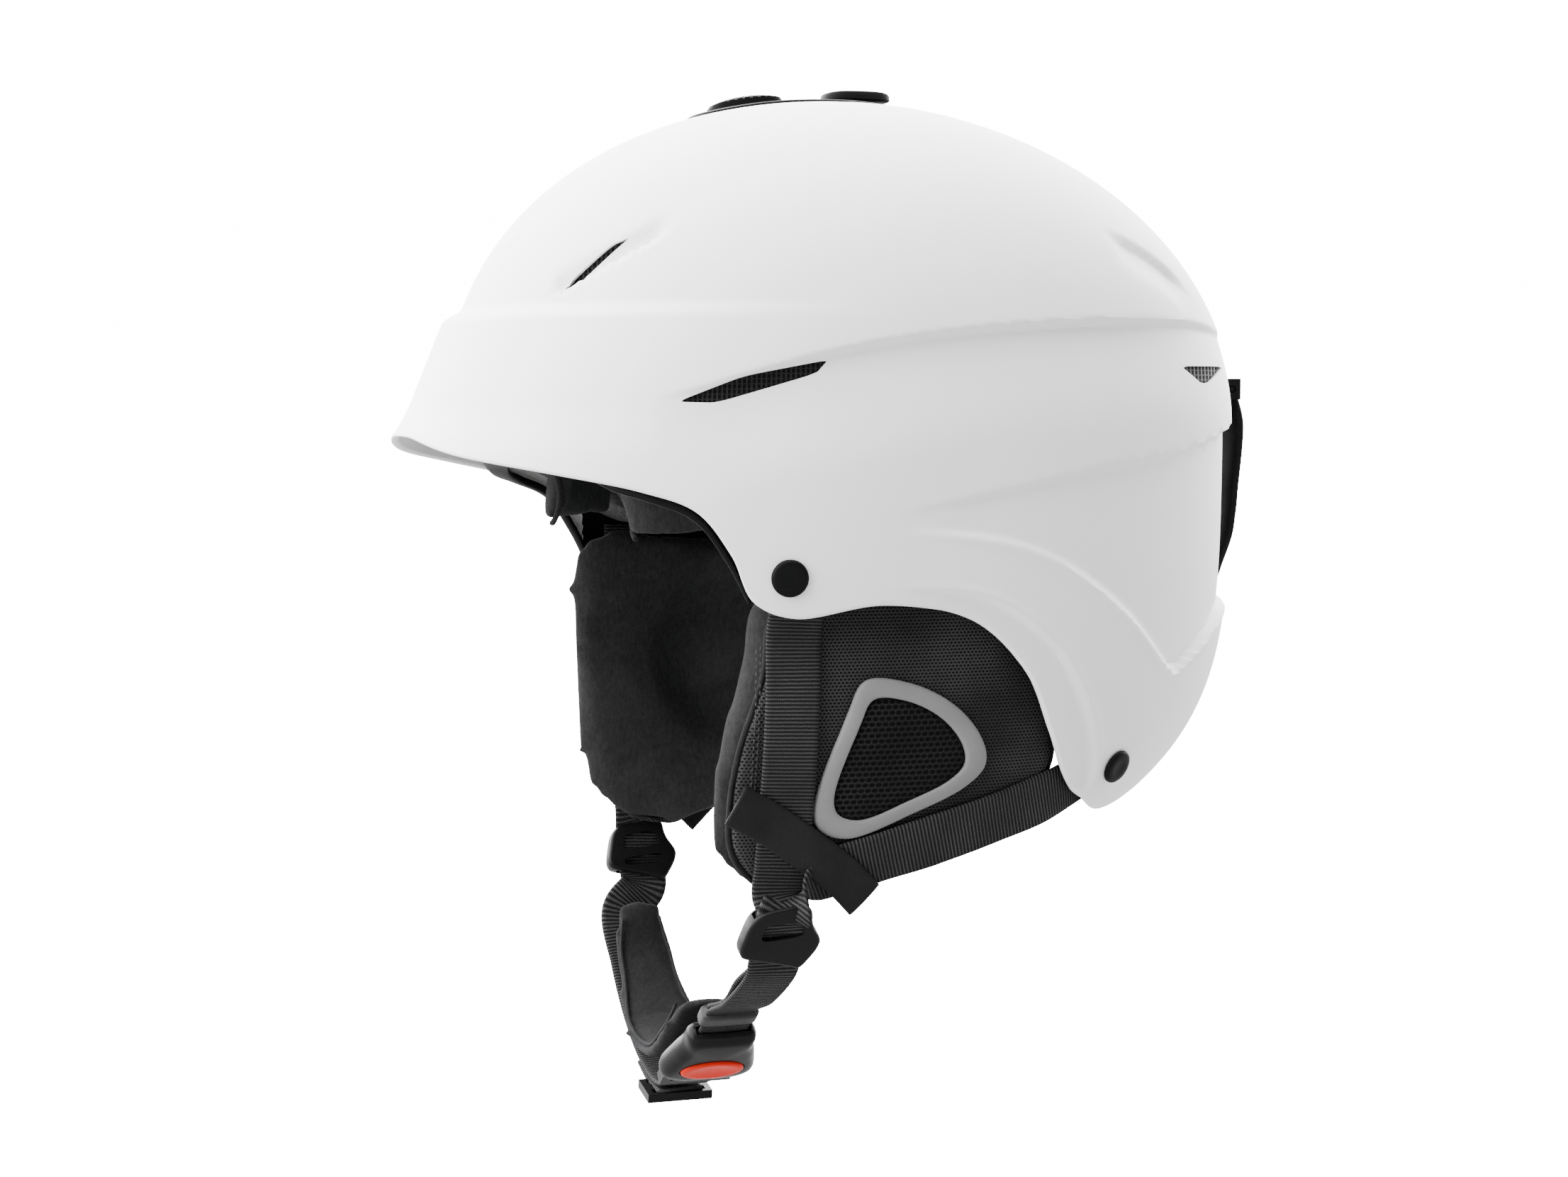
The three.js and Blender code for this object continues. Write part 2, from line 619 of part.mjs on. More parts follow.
function goggleClip() {
  const ring = (t) => {
    const z = CLIP_TOP_Z + (CLIP_LOW_Z - CLIP_TOP_Z) * t;
    const half = table(CLIP_HALF_WIDTHS, t);
    const offset = table(CLIP_OFFSETS, t);
    const face = wallY(0, z, 0) + offset;
    const row = (drop, crown) => steps(4, -1, 1).map((share) => vec(
      half * share, face - drop - crown * share ** 2, z));
    return [...row(0, CLIP_CROWN), ...row(CLIP_THICKNESS, 0).reverse()];
  };
  const across = (radius, half) => rod(
    radius, vec(-half, pivotY, CLIP_PIVOT_Z), vec(half, pivotY, CLIP_PIVOT_Z));
  const barrel = across(BARREL_RADIUS, LUG_X[0] - 0.6);
  const pin = across(PIVOT_RADIUS, LUG_X[1] - 0.2);
  return join(loft(steps(8).map(ring)), barrel, pin);
}

function goggleClipLugs(side) {
  const lug = box([LUG_X[1] - LUG_X[0], 5.6, 7], [(LUG_X[0] + LUG_X[1]) / 2, pivotY + 0.2, CLIP_PIVOT_Z]);
  const bore = rod(PIVOT_RADIUS + GAP, vec(0, pivotY, CLIP_PIVOT_Z), vec(40, pivotY, CLIP_PIVOT_Z));
  const body = cut(lug, bore, rearWallSpace());
  return side > 0 ? body : mirrored(body);
}

// The rear wall of the shell with a little clearance, for trimming what sits on its outside.
function rearWallSpace() {
  const columns = steps(12, Math.PI - 0.5, Math.PI + 0.5);
  const layer = (inset) => columns.map((angle) => steps(8, 30, 118).map((z) => {
    const p = domePoint(angle, z, 0);
    return vec(p.x, wallY(p.x, z, 0) - inset, z);
  }));
  return doubleGrid(layer(-GAP), layer(12));
}

function goggleClipSnap() {
  const at = wallY(0, SNAP_Z, 0);
  return rod(3, vec(0, at - BAND_DEPTH + 2 * GAP, SNAP_Z), vec(0, at - GAP, SNAP_Z), 18);
}

// ---------------------------------------------------------------- ear pads
const EAR_OUTLINE = [
  [-51, 40], [-53, 24], [-60, 0], [-62.5, -20], [-61, -36], [-52, -47], [-36, -52], [-14, -45],
  [14, -36], [39, -26], [51, -11], [48.5, 8], [38, 27], [24, 42], [6, 50], [-20, 50], [-42, 48],
];
// Lining face of the right ear pad, which sits pushed forward. The left one follows the outer face.
const EAR_LINING_OUTLINE = [
  [-65, 42], [-66, 24], [-65, 0], [-63.5, -20], [-61, -36], [-52, -47], [-36, -52], [-14, -45],
  [14, -36], [39, -26], [51, -11], [48.5, 8], [38, 27], [24, 42], [6, 51], [-22, 54.5], [-54, 54],
];
const EAR_INNER_X = 72;
const PLUSH_OUTER_DROP = 3.4;
const COVER_CLEARANCE = 4.8;
const RING_OUTLINE = [
  [-19, 19], [-5, 18], [10, 10.5], [19, 0], [20.5, -8], [15, -14], [-2, -22], [-22, -29],
  [-31, -26], [-33, -19], [-24, 10],
];

// The outer face of an ear pad's cover.
function earFace(y, z) {
  const bulge = 93.5 - 0.0014 * (y + 12) ** 2 - 0.0011 * (30 - z) ** 2;
  return Math.min(bulge, wallX(y, z, SHELL_THICKNESS) - COVER_CLEARANCE);
}

function smoothOutline(points, count) {
  const curve = new THREE.CatmullRomCurve3(points.map(([u, v]) => vec(u, v, 0)), true, "centripetal");
  return curve.getSpacedPoints(count).slice(0, -1).map((p) => [p.x, p.y]);
}

function scaled(outline, keep) {
  const middle = middleOf(outline);
  return outline.map(([u, v]) => [middle[0] + (u - middle[0]) * keep, middle[1] + (v - middle[1]) * keep]);
}

function earLayer(outline, levels) {
  return loft(levels.map(([keep, xAt]) => scaled(outline, keep).map(([y, z]) => vec(xAt(y, z), y, z))));
}

// An ear pad's plush body on the wearer's left, from its lining face outwards.
function earBody(outline, lining) {
  const outer = (y, z) => earFace(y, z) - PLUSH_OUTER_DROP;
  const ring = (line, keep, xAt) => scaled(line, keep).map(([y, z]) => vec(xAt(y, z), y, z));
  return loft([
    ring(lining, 0.5, () => EAR_INNER_X),
    ring(lining, 0.85, () => EAR_INNER_X),
    ring(lining, 0.98, () => EAR_INNER_X + 1.5),
    ring(lining, 0.98, () => EAR_INNER_X + 4),
    ring(outline, 1, (y, z) => 0.5 * EAR_INNER_X + 0.5 * outer(y, z)),
    ring(outline, 1, (y, z) => 0.2 * EAR_INNER_X + 0.8 * outer(y, z)),
    ring(outline, 0.88, outer),
    ring(outline, 0.5, outer),
  ]);
}

function earPads() {
  const outline = smoothOutline(EAR_OUTLINE, 24);
  add("ear_pad_left", earBody(outline, outline), "fabric");
  add("ear_pad_right", mirrored(earBody(outline, smoothOutline(EAR_LINING_OUTLINE, 24))), "fabric");
  const trim = smoothOutline(RING_OUTLINE, 20);
  const panelFace = (lift) => (y, z) => earFace(y, z) + lift;
  const panel = earLayer(outline, [
    [0.5, panelFace(1 - PLUSH_OUTER_DROP)], [0.88, panelFace(1 - PLUSH_OUTER_DROP)],
    [0.88, panelFace(-0.8)], [0.84, panelFace(0)], [0.5, panelFace(0)],
  ]);
  addPair("ear_cover", panel, "mesh");
  const disc = earLayer(trim, [
    [0.5, panelFace(GAP)], [1, panelFace(GAP)], [1, panelFace(1.7)],
    [0.9, panelFace(2.1)], [0.5, panelFace(2.1)],
  ]);
  const window = earLayer(scaled(trim, 0.72), [
    [0.5, panelFace(-4)], [1, panelFace(-4)], [1, panelFace(6)], [0.5, panelFace(6)],
  ]);
  const insert = earLayer(scaled(trim, 0.7), [
    [0.5, panelFace(GAP)], [0.96, panelFace(GAP)], [0.96, panelFace(1)], [0.5, panelFace(1.3)],
  ]);
  addPair("ear_ring", cut(disc, window), "trim");
  addPair("ear_mesh", insert, "mesh");
}

// ---------------------------------------------------------------- webbing on the ear pads
const STRAP_LIFT = 1.7;
const FRONT_RIVET = [-45.5, 50.5];
const REAR_RIVET = [68, -11.5];

function onPad(y, z, lift = STRAP_LIFT) {
  return earFace(y, z) + lift;
}

function frontStrap() {
  const stops = [57, 48, 34, 16, -2, -20, -36, -45.5].map((z) => {
    const y = -41 - 0.01 * (50 - z);
    const behindShell = wallX(y, z, SHELL_THICKNESS) - 1.9;
    return { at: [z > 40 ? behindShell : onPad(y, z), y, z], wide: [0.12, 1, 0] };
  });
  return cut(ribbon(stops, WEBBING_WIDTH - 0.5, WEBBING_THICKNESS, 14),
    rivetShank(FRONT_RIVET, RIVET_SHANK_RADIUS + GAP, 8));
}

function rearStrap() {
  const line = [[70, -8], [60, -12], [44, -18], [26, -24], [6, -30], [-12, -35.5], [-27, -40]];
  const tuck = (y) => 4.5 * Math.max(0, (y - 44) / 26);
  const stops = line.map(([y, z]) => ({ at: [onPad(y, z) - tuck(y), y, z], wide: [0.3, 0.3, 1] }));
  return cut(ribbon(stops, WEBBING_WIDTH - 2, WEBBING_THICKNESS, 14),
    rivetShank(REAR_RIVET, RIVET_SHANK_RADIUS + GAP, 12));
}

function padLoop() {
  const line = [[-58, -17], [-48, -22.5], [-36, -31], [-24, -40], [-16, -48]];
  const stops = line.map(([y, z]) => ({ at: [earFace(y, z) + 5, y, z], wide: [0.1, 0.5, 1] }));
  return ribbon(stops, 13, 1, 10);
}

// The shell's surface point and its outward direction at a rivet.
function rivetSeat([y, z]) {
  const dy = (wallX(y + 1, z, 0) - wallX(y - 1, z, 0)) / 2;
  const dz = (wallX(y, z + 1, 0) - wallX(y, z - 1, 0)) / 2;
  return { at: vec(wallX(y, z, 0), y, z), out: vec(1, -dy, -dz).normalize() };
}

function rivetShank(place, radius, depth) {
  const { at, out } = rivetSeat(place);
  return rod(radius, at.clone().addScaledVector(out, -depth), at.clone().addScaledVector(out, 1), 12);
}

function rivet(place) {
  const { at, out } = rivetSeat(place);
  const profile = [
    [0, 0.35], [RIVET_RADIUS, 0.35], [RIVET_RADIUS, 0.9], [RIVET_RADIUS - 1.2, 1.7], [0, 1.9],
  ].map(([radius, up]) => new THREE.Vector2(radius, up));
  const head = new THREE.LatheGeometry(profile, 16);
  head.applyQuaternion(new THREE.Quaternion().setFromUnitVectors(vec(0, 1, 0), out));
  head.translate(...at.toArray());
  return join(head, rivetShank(place, RIVET_SHANK_RADIUS, 5));
}

// ---------------------------------------------------------------- strap dividers
const DIVIDER = vec(80.5, -41.5, -58);
const DIVIDER_DOWN = vec(-0.42, -0.02, -0.907).normalize();
const DIVIDER_SIZE = [24, 20, 6];

function dividerBasis() {
  const wide = vec(0, 1, 0).addScaledVector(DIVIDER_DOWN, -DIVIDER_DOWN.y).normalize();
  return basis(wide, DIVIDER_DOWN, vec(0, 0, 0).crossVectors(wide, DIVIDER_DOWN), DIVIDER);
}

function divider() {
  const [w, h, t] = DIVIDER_SIZE;
  const outline = [
    [-w / 2, -h / 2], [w / 2 - 1, -h / 2], [w / 2 + 2, -h / 2 + 8], [w / 2 - 3, h / 2], [-w / 2, h / 2 - 3],
  ];
  const body = prism(outline, t, new THREE.Matrix4().makeTranslation(0, 0, -t / 2));
  const sleeve = box([WEBBING_WIDTH + 1.4, h + 20, WEBBING_THICKNESS + 1.2], [0, 0, 0]);
  const windows = box([WEBBING_WIDTH - 4, 5.5, 20], [0, 2, -10]);
  const made = cut(body, sleeve, windows);
  made.applyMatrix4(dividerBasis());
  return made;
}

// ---------------------------------------------------------------- chin strap, pad and buckle
const buckleOut = vec(-Math.cos(BUCKLE_TILT), 0, -Math.sin(BUCKLE_TILT));
const buckleFace = vec(Math.sin(BUCKLE_TILT), 0, -Math.cos(BUCKLE_TILT));
const bucklePlace = basis(buckleOut, vec(0, 1, 0), buckleFace, BUCKLE_CENTRE);

function atBuckle(along, across, up) {
  return BUCKLE_CENTRE.clone().addScaledVector(buckleOut, along).add(vec(0, across, 0))
    .addScaledVector(buckleFace, up).toArray();
}

function belowDivider(distance, side = 1) {
  const at = DIVIDER.clone().addScaledVector(DIVIDER_DOWN, distance);
  return [side * at.x, at.y, at.z];
}

function chinStrapLeft() {
  const half = BUCKLE_LENGTH / 2;
  const stops = [
    ...[-6, 2, 10, 14].map((distance) => belowDivider(distance)),
    [58, -44, -83], atBuckle(-half - 12, 0, -0.6), atBuckle(-half - 4, 0, 0), atBuckle(-half + 3, 0, 0),
  ].map((at) => ({ at, wide: [0, 1, 0] }));
  return ribbon(stops, WEBBING_WIDTH - 0.5, WEBBING_THICKNESS, 16);
}

const CHIN_ROUTE = [[-12, -124.4], [-30, -120.5], [-48, -109.5], [-63, -94], [-73, -78]];
const CHIN_Y = -46;

// The right strap ends just under its divider, so that it can leave with the buckle's tongue.
function chinStrapRight() {
  const stops = [
    { at: atBuckle(27.5, 0, -2.4), wide: [0, 1, 0] },
    ...CHIN_ROUTE.map(([x, z]) => ({ at: [x, CHIN_Y + 0.04 * x, z], wide: [0, 1, 0] })),
    { at: belowDivider(DIVIDER_SIZE[1] / 2 + 2.8, -1), wide: [0, 1, 0] },
  ];
  return ribbon(stops, WEBBING_WIDTH - 0.5, WEBBING_THICKNESS, 18);
}

// Padded sleeve on the inside of the strap, from the right cheek to behind the buckle.
const PAD_ROUTE = [
  [-67, -72], [-60, -88], [-47, -102], [-31, -112], [-13, -114], [3, -105], [16, -93.5], [21, -89],
];
const PAD_WIDTHS = [[0, 18], [0.2, 24], [0.42, 30], [0.62, 27], [0.85, 24], [1, 16]];

function chinPad() {
  const centre = new THREE.CatmullRomCurve3(PAD_ROUTE.map(([x, z]) => vec(x, -46, z)), false, "centripetal");
  return loft(steps(14).map((t) => {
    const at = centre.getPoint(t);
    const along = centre.getTangent(t);
    const out = vec(along.z, 0, -along.x);
    const half = table(PAD_WIDTHS, t) / 2;
    const thick = t === 0 || t === 1 ? 1 : 2.5;
    return steps(8, 0, 2 * Math.PI).slice(0, -1).map((turn) => at.clone()
      .add(vec(0, half * signedPower(Math.cos(turn), 0.8), 0))
      .addScaledVector(out, thick * signedPower(Math.sin(turn), 0.7)));
  }));
}

function ellipsePrism(radii, from, to, count = 26) {
  const turns = steps(count, 0, 2 * Math.PI).slice(0, -1);
  const outline = turns.map((t) => [radii[0] * Math.cos(t), radii[1] * Math.sin(t)]);
  return prism(outline, to - from, new THREE.Matrix4().makeTranslation(0, 0, from));
}

const BUTTON_AT = 4.5;

function buckleHousing() {
  const half = BUCKLE_LENGTH / 2;
  const outline = smoothOutline([
    [-half, -11], [-half, 11], [-2, 13.5], [half - 3, 15.4], [half, 10], [half, -10],
    [half - 3, -15.4], [-2, -13.5],
  ], 28);
  const down = new THREE.Matrix4().makeTranslation(0, 0, -BUCKLE_THICKNESS / 2);
  const body = prism(outline, BUCKLE_THICKNESS, down);
  const socket = box([17, 17.4, 3.2], [half - 7.5, 0, -2.4]);
  const pocket = ellipsePrism([BUTTON_SIZE[0] / 2 + 0.4, BUTTON_SIZE[1] / 2 + 0.4],
    BUCKLE_THICKNESS / 2 - BUTTON_POCKET_DEPTH, 20);
  pocket.translate(BUTTON_AT, 0, 0);
  const strapMouth = box([16, WEBBING_WIDTH + 1, WEBBING_THICKNESS + 1.2], [-half - 2, 0, 0]);
  const made = cut(body, socket, pocket, strapMouth);
  made.applyMatrix4(bucklePlace);
  return made;
}

function buckleButton() {
  const top = BUCKLE_THICKNESS / 2;
  const rings = [[0.5, top - 1.6], [1, top - 1.6], [1, top + 0.4], [0.9, top + 0.9], [0.5, top + 0.6]];
  const made = loft(rings.map(([keep, up]) => steps(26, 0, 2 * Math.PI).slice(0, -1).map((t) => vec(
    BUTTON_AT + keep * BUTTON_SIZE[0] / 2 * Math.cos(t), keep * BUTTON_SIZE[1] / 2 * Math.sin(t), up))));
  made.applyMatrix4(bucklePlace);
  return made;
}

function buckleTongue() {
  const half = BUCKLE_LENGTH / 2;
  const blade = box([14, 16, 2], [half - 5, 0, -2.4]);
  const grip = box([10, 24, 4.2], [half + 6, 0, -2.4]);
  const slot = box([3.4, WEBBING_WIDTH + 1, 20], [half + 6.5, 0, 0]);
  const made = cut(join(blade, grip), slot);
  made.applyMatrix4(bucklePlace);
  return made;
}

function strapGlide() {
  const frame = box([13, 22, 3], [0, 0, 0]);
  const slots = [-3.6, 3.6].map((x) => box([3, WEBBING_WIDTH + 1, 10], [x, 0, 0]));
  const made = cut(frame, ...slots);
  made.applyMatrix4(basis(vec(0.985, 0, -0.17), vec(0, 1, 0), vec(0.17, 0, 0.985), vec(-15, -47, -127.6)));
  return made;
}

// ---------------------------------------------------------------- size-adjusting headband
const HOUSING_HALF = [24, 14];
const HOUSING_Y = [96, 105];
const RACK_TOP = 10.2;
const BAND_END_Z = 3;
const FIT_BAND_WIDTH = 9;
const RACK_THICKNESS = 3;
const DIAL_RIDGES = 16;

function gearOutline() {
  const pitch = 2 * Math.PI / PINION_TEETH;
  return steps(PINION_TEETH - 1, 0, PINION_TEETH - 1).flatMap((tooth) => [
    [-0.28, -TOOTH_ROOT], [-0.1, TOOTH_HEIGHT], [0.1, TOOTH_HEIGHT], [0.28, -TOOTH_ROOT],
  ].map(([share, height]) => {
    const angle = (tooth + share) * pitch;
    return [(PINION_RADIUS + height) * Math.sin(angle), (PINION_RADIUS + height) * Math.cos(angle)];
  }));
}

function dialPlace() {
  return basis(vec(1, 0, 0), vec(0, 0, 1), vec(0, -1, 0), DIAL_CENTRE);
}

function halfRackDown() {
  return new THREE.Matrix4().makeTranslation(0, 0, -RACK_THICKNESS / 2);
}

function fitPinion() {
  const gear = prism(gearOutline(), RACK_THICKNESS, halfRackDown());
  gear.applyMatrix4(dialPlace());
  const onAxis = (y) => vec(0, y, DIAL_CENTRE.z);
  const shaft = rod(2.4, onAxis(DIAL_CENTRE.y + 1), onAxis(HOUSING_Y[1] + 0.8), 20);
  return join(gear, shaft);
}

// A toothed strip inside the housing that runs on as a flat band round the side of the head.
// The right one is turned half round the pinion, so that the two pull in together.
function fitBand(side) {
  const pitch = 2 * Math.PI * PINION_RADIUS / PINION_TEETH;
  const back = PINION_RADIUS + TOOTH_ROOT;
  const teeth = [-3, -2, -1, 0, 1, 2, 3, 4].flatMap((tooth) => [
    [-0.28, TOOTH_ROOT], [-0.11, -TOOTH_HEIGHT], [0.11, -TOOTH_HEIGHT], [0.28, TOOTH_ROOT],
  ].map(([share, height]) => [(tooth + 0.5 + share) * pitch, PINION_RADIUS + height]));
  const outline = [[-13, back], ...teeth, [36, back], [36, RACK_TOP], [-13, RACK_TOP]];
  const rack = prism(outline, RACK_THICKNESS, halfRackDown());
  rack.applyMatrix4(dialPlace());
  if (side < 0) {
    rack.applyMatrix4(new THREE.Matrix4().makeTranslation(0, 0, 2 * DIAL_CENTRE.z)
      .multiply(new THREE.Matrix4().makeRotationY(Math.PI)));
  }
  const rackZ = DIAL_CENTRE.z + side * (back + RACK_TOP) / 2;
  const route = [[34, 100.5, 0], [44, 97.5, 0.15], [55, 89, 0.4], [64, 77, 0.7], [69, 63, 1]];
  const stops = route.map(([x, y, share]) => ({
    at: [side * x, y, rackZ + (BAND_END_Z - rackZ) * share], wide: [0, 0, 1],
  }));
  return join(rack, ribbon(stops, FIT_BAND_WIDTH, 2, 8));
}

function fitHousing() {
  const [wide, high] = HOUSING_HALF;
  const outline = smoothOutline([
    [-wide, -11], [-wide, 11], [-19, high], [19, high], [wide, 11], [wide, -11], [19, -high], [-19, -high],
  ], 24);
  const place = basis(vec(1, 0, 0), vec(0, 0, 1), vec(0, -1, 0), vec(0, HOUSING_Y[1], DIAL_CENTRE.z));
  const body = prism(outline, HOUSING_Y[1] - HOUSING_Y[0], place);
  const channel = box([100, RACK_THICKNESS + 2, 2 * (RACK_TOP + 0.6)], DIAL_CENTRE.toArray());
  const bore = rod(2.8, vec(0, DIAL_CENTRE.y, DIAL_CENTRE.z), vec(0, HOUSING_Y[1] + 5, DIAL_CENTRE.z), 20);
  return cut(body, channel, bore);
}

function fitDial() {
  const ring = (radius, y) => steps(2 * DIAL_RIDGES, 0, 2 * Math.PI).slice(0, -1).map((t, i) => {
    const reach = radius + (i % 2) * 0.8;
    return vec(reach * Math.cos(t), y, DIAL_CENTRE.z + reach * Math.sin(t));
  });
  const low = HOUSING_Y[1] + 1.2;
  return loft([ring(8, low), ring(14, low), ring(14, low + 4), ring(11.5, low + 6), ring(5, low + 6)]);
}

// ---------------------------------------------------------------- assembly
add("outer_shell", outerShell(), "shell");
add("foam_liner", foamLiner(), "foam");
add("liner_edge_trim", linerTrim(), "black");
innerPads();
for (const [name, vent] of Object.entries(VENTS)) {
  addPair(`${name}_vent_mesh`, ventMesh(vent), "mesh");
}
add("crown_vent_frame", crownVentFrame(), "black");
add("vent_slider", ventSlider(), "black");
add("vent_shutter", ventShutter(), "black");
add("goggle_clip", goggleClip(), "black");
for (const [name, side] of Object.entries(sides)) {
  add(`goggle_clip_lug_${name}`, goggleClipLugs(side), "black");
}
add("goggle_clip_snap", goggleClipSnap(), "black");
earPads();
addPair("front_strap", frontStrap(), "webbing");
addPair("rear_strap", rearStrap(), "webbing");
addPair("pad_loop", padLoop(), "fabric");
addPair("front_rivet", rivet(FRONT_RIVET), "black");
addPair("rear_rivet", rivet(REAR_RIVET), "black");
addPair("strap_divider", divider(), "gloss");
add("chin_strap_left", chinStrapLeft(), "webbing");
add("chin_strap_right", chinStrapRight(), "webbing");
add("chin_pad", chinPad(), "fabric");
add("buckle_housing", buckleHousing(), "gloss");
add("buckle_button", buckleButton(), "button");
add("buckle_tongue", buckleTongue(), "gloss");
add("strap_glide", strapGlide(), "gloss");
add("fit_housing", fitHousing(), "black");
add("fit_dial", fitDial(), "black");
add("fit_pinion", fitPinion(), "black");
for (const [name, side] of Object.entries(sides)) {
  add(`fit_band_${name}`, fitBand(side), "black");
}

export default helmet;
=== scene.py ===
import math

import bmesh
import bpy
import numpy as np
from mathutils import Matrix, Vector


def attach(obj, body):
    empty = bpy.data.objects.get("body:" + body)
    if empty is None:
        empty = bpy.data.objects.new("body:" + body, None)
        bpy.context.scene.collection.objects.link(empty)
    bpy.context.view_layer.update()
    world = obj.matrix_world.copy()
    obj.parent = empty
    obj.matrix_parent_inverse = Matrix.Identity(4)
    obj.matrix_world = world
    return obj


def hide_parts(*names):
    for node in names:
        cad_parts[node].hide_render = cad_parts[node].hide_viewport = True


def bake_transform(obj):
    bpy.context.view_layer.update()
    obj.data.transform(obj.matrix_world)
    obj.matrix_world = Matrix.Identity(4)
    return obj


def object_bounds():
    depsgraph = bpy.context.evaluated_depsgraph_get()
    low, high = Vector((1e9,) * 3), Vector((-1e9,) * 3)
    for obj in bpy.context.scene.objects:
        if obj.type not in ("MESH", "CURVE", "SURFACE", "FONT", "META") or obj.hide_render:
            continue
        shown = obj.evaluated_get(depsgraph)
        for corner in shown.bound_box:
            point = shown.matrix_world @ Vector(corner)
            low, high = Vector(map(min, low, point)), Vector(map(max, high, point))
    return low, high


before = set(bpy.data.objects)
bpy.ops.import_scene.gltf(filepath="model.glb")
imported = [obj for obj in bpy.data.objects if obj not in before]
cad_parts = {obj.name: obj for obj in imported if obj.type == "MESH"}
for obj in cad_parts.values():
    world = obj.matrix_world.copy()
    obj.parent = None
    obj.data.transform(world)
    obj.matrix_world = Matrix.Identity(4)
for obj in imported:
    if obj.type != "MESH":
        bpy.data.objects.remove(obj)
FRAME_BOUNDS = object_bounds()
MM = 0.001

# ------------------------------------------------------------------ driving dimensions
BELT_Z = 97.2
CROWN_Z = 197.4
HALF_WIDTH = 109.0
FRONT_REACH = 123.2
REAR_REACH = 135.4
SQUARENESS = 2.15
SIDE_POWER = 2.3
FRONT_POWER = 2.14
REAR_POWER = 1.93
SIDE_TUCK = 0.001
NAPE_TUCK = 13.0
NAPE_TUCK_POWER = 4.9
BRIM_Z = 131.0
BRIM_STEP = 4.8
BRIM_SLOPE = 0.41
BRIM_LIP = 2.7
LINER_BROW_SLOPE = 0.12
TEMPLE_TURN = (30.0, 58.0)
SHELL_THICKNESS = 2.2
LINER_OUTER = 3.2
LINER_INNER = 24.0
LINER_LIP = 3.0
PAD_OUTER = LINER_INNER + 1.3
PAD_THICKNESS = 7.0

# The liner keeps clear of the strap band between these heights and turns.
BAND_DEPTH = 3.0
LINER_BAND = (0.0, 10.0, 103.0, 124.0)
LINER_BAND_TURN = (80.0, 120.0)

# Lower edges as [angle from the front in degrees, height]. A degree counts as DEGREE_LENGTH along them.
DEGREE_LENGTH = 2.0
SHELL_EDGE = [
    (0, 90.3), (7, 89.8), (24, 85), (43, 80), (56, 75), (63, 69.5), (68, 57), (71.5, 43), (76, 38.5),
    (85, 42), (94, 37), (102, 21), (107.5, 2), (113, -12), (121, -21), (132, -26.5),
    (143, -23), (151, -12), (163, -2), (180, 1),
]
LINER_EDGE = [
    (0, 90.5), (8, 90), (30, 86.4), (54, 79), (63, 72), (68, 64), (74, 58), (92, 57), (101, 50),
    (108, 38), (117, 24), (128, 16), (144, 13), (180, 16),
]
TRIM_LINE = [
    (0, 90.2), (7, 89.7), (24, 85.2), (43, 79.6), (50, 76.4), (56, 73.8), (62.5, 68.4), (67.4, 56.2),
    (70.9, 43.3),
]
TRIM_DEPTH = 9.0
TRIM_TEMPLE_DEPTH = 3.6
TRIM_HALF_HEIGHT = 1.4

# Inside, the shell is white only this far above its edge, at the front.
WHITE_RIM = 9.0
WHITE_RIM_TURN = 60.0

# Lines in the shell's relief as [angle, height], and how deep each is pressed in.
CAP_LINE = [
    (53, 101.6), (61, 105.6), (69.9, 111.6), (76.1, 115.2), (81.4, 117.8), (87.6, 120.4), (96, 123),
    (106.4, 124.8), (119.9, 125.9), (136, 125.6), (155, 123), (180, 121),
]
CAP_DEPTH = 2.8
BAND_TOP = [
    (84, 68.6), (89.9, 71.3), (95.6, 74.3), (105.3, 78.5), (117.5, 82.8), (133.4, 87.2), (148.2, 91.8),
    (165, 94), (180, 94.5),
]
BAND_FOOT = [
    (84, 64.2), (89.4, 63.5), (95.7, 61.5), (100.5, 58.7), (105.8, 53.8), (111.8, 46), (119.1, 35.3),
    (124.7, 26.2), (129.5, 19.2), (132.3, 17.4), (135.2, 19.6), (138.8, 23), (146.7, 29.8), (152.9, 33.5),
    (166, 36.5), (180, 37.5),
]
BAND_FRONT_DEPTH = 1.3
BAND_LIP = 0.5
EAR_GROOVE = [
    (84, 46.5), (90.9, 45.6), (96.1, 42.6), (101.1, 36), (106.9, 25.1), (111.7, 11.5), (116.5, -3.5),
    (119.8, -15.1), (120.9, -21.9),
]
GROOVE_DEPTH = 1.7
GROOVE_LIP = 0.55
REAR_SCOOP = [(122, 154), (125.4, 152.1), (131.4, 148.2), (138.3, 140.8), (142, 134)]
REAR_SCOOP_DEPTH = 1.7
FRONT_SCOOP = [(27.5, 133.6), (29.3, 134.8), (36.3, 140.8), (42, 146.4), (46.9, 151.3), (49, 153)]
FRONT_SCOOP_DEPTH = 2.4

# Vent outlines in the plane that each is cut square to, as [along, up].
SIDE_VENT = [(-76, 101.3), (-65, 101), (-37, 109.5), (-33.5, 113.4), (-58, 108.7)]
REAR_VENT = [(-19, 112.2), (20, 112.4), (-1, 107), (-8, 107)]
FRONT_VENT = [(-14, -1.6), (-8, -2.1), (14, 0), (8, 1.5), (-8, 0.6)]

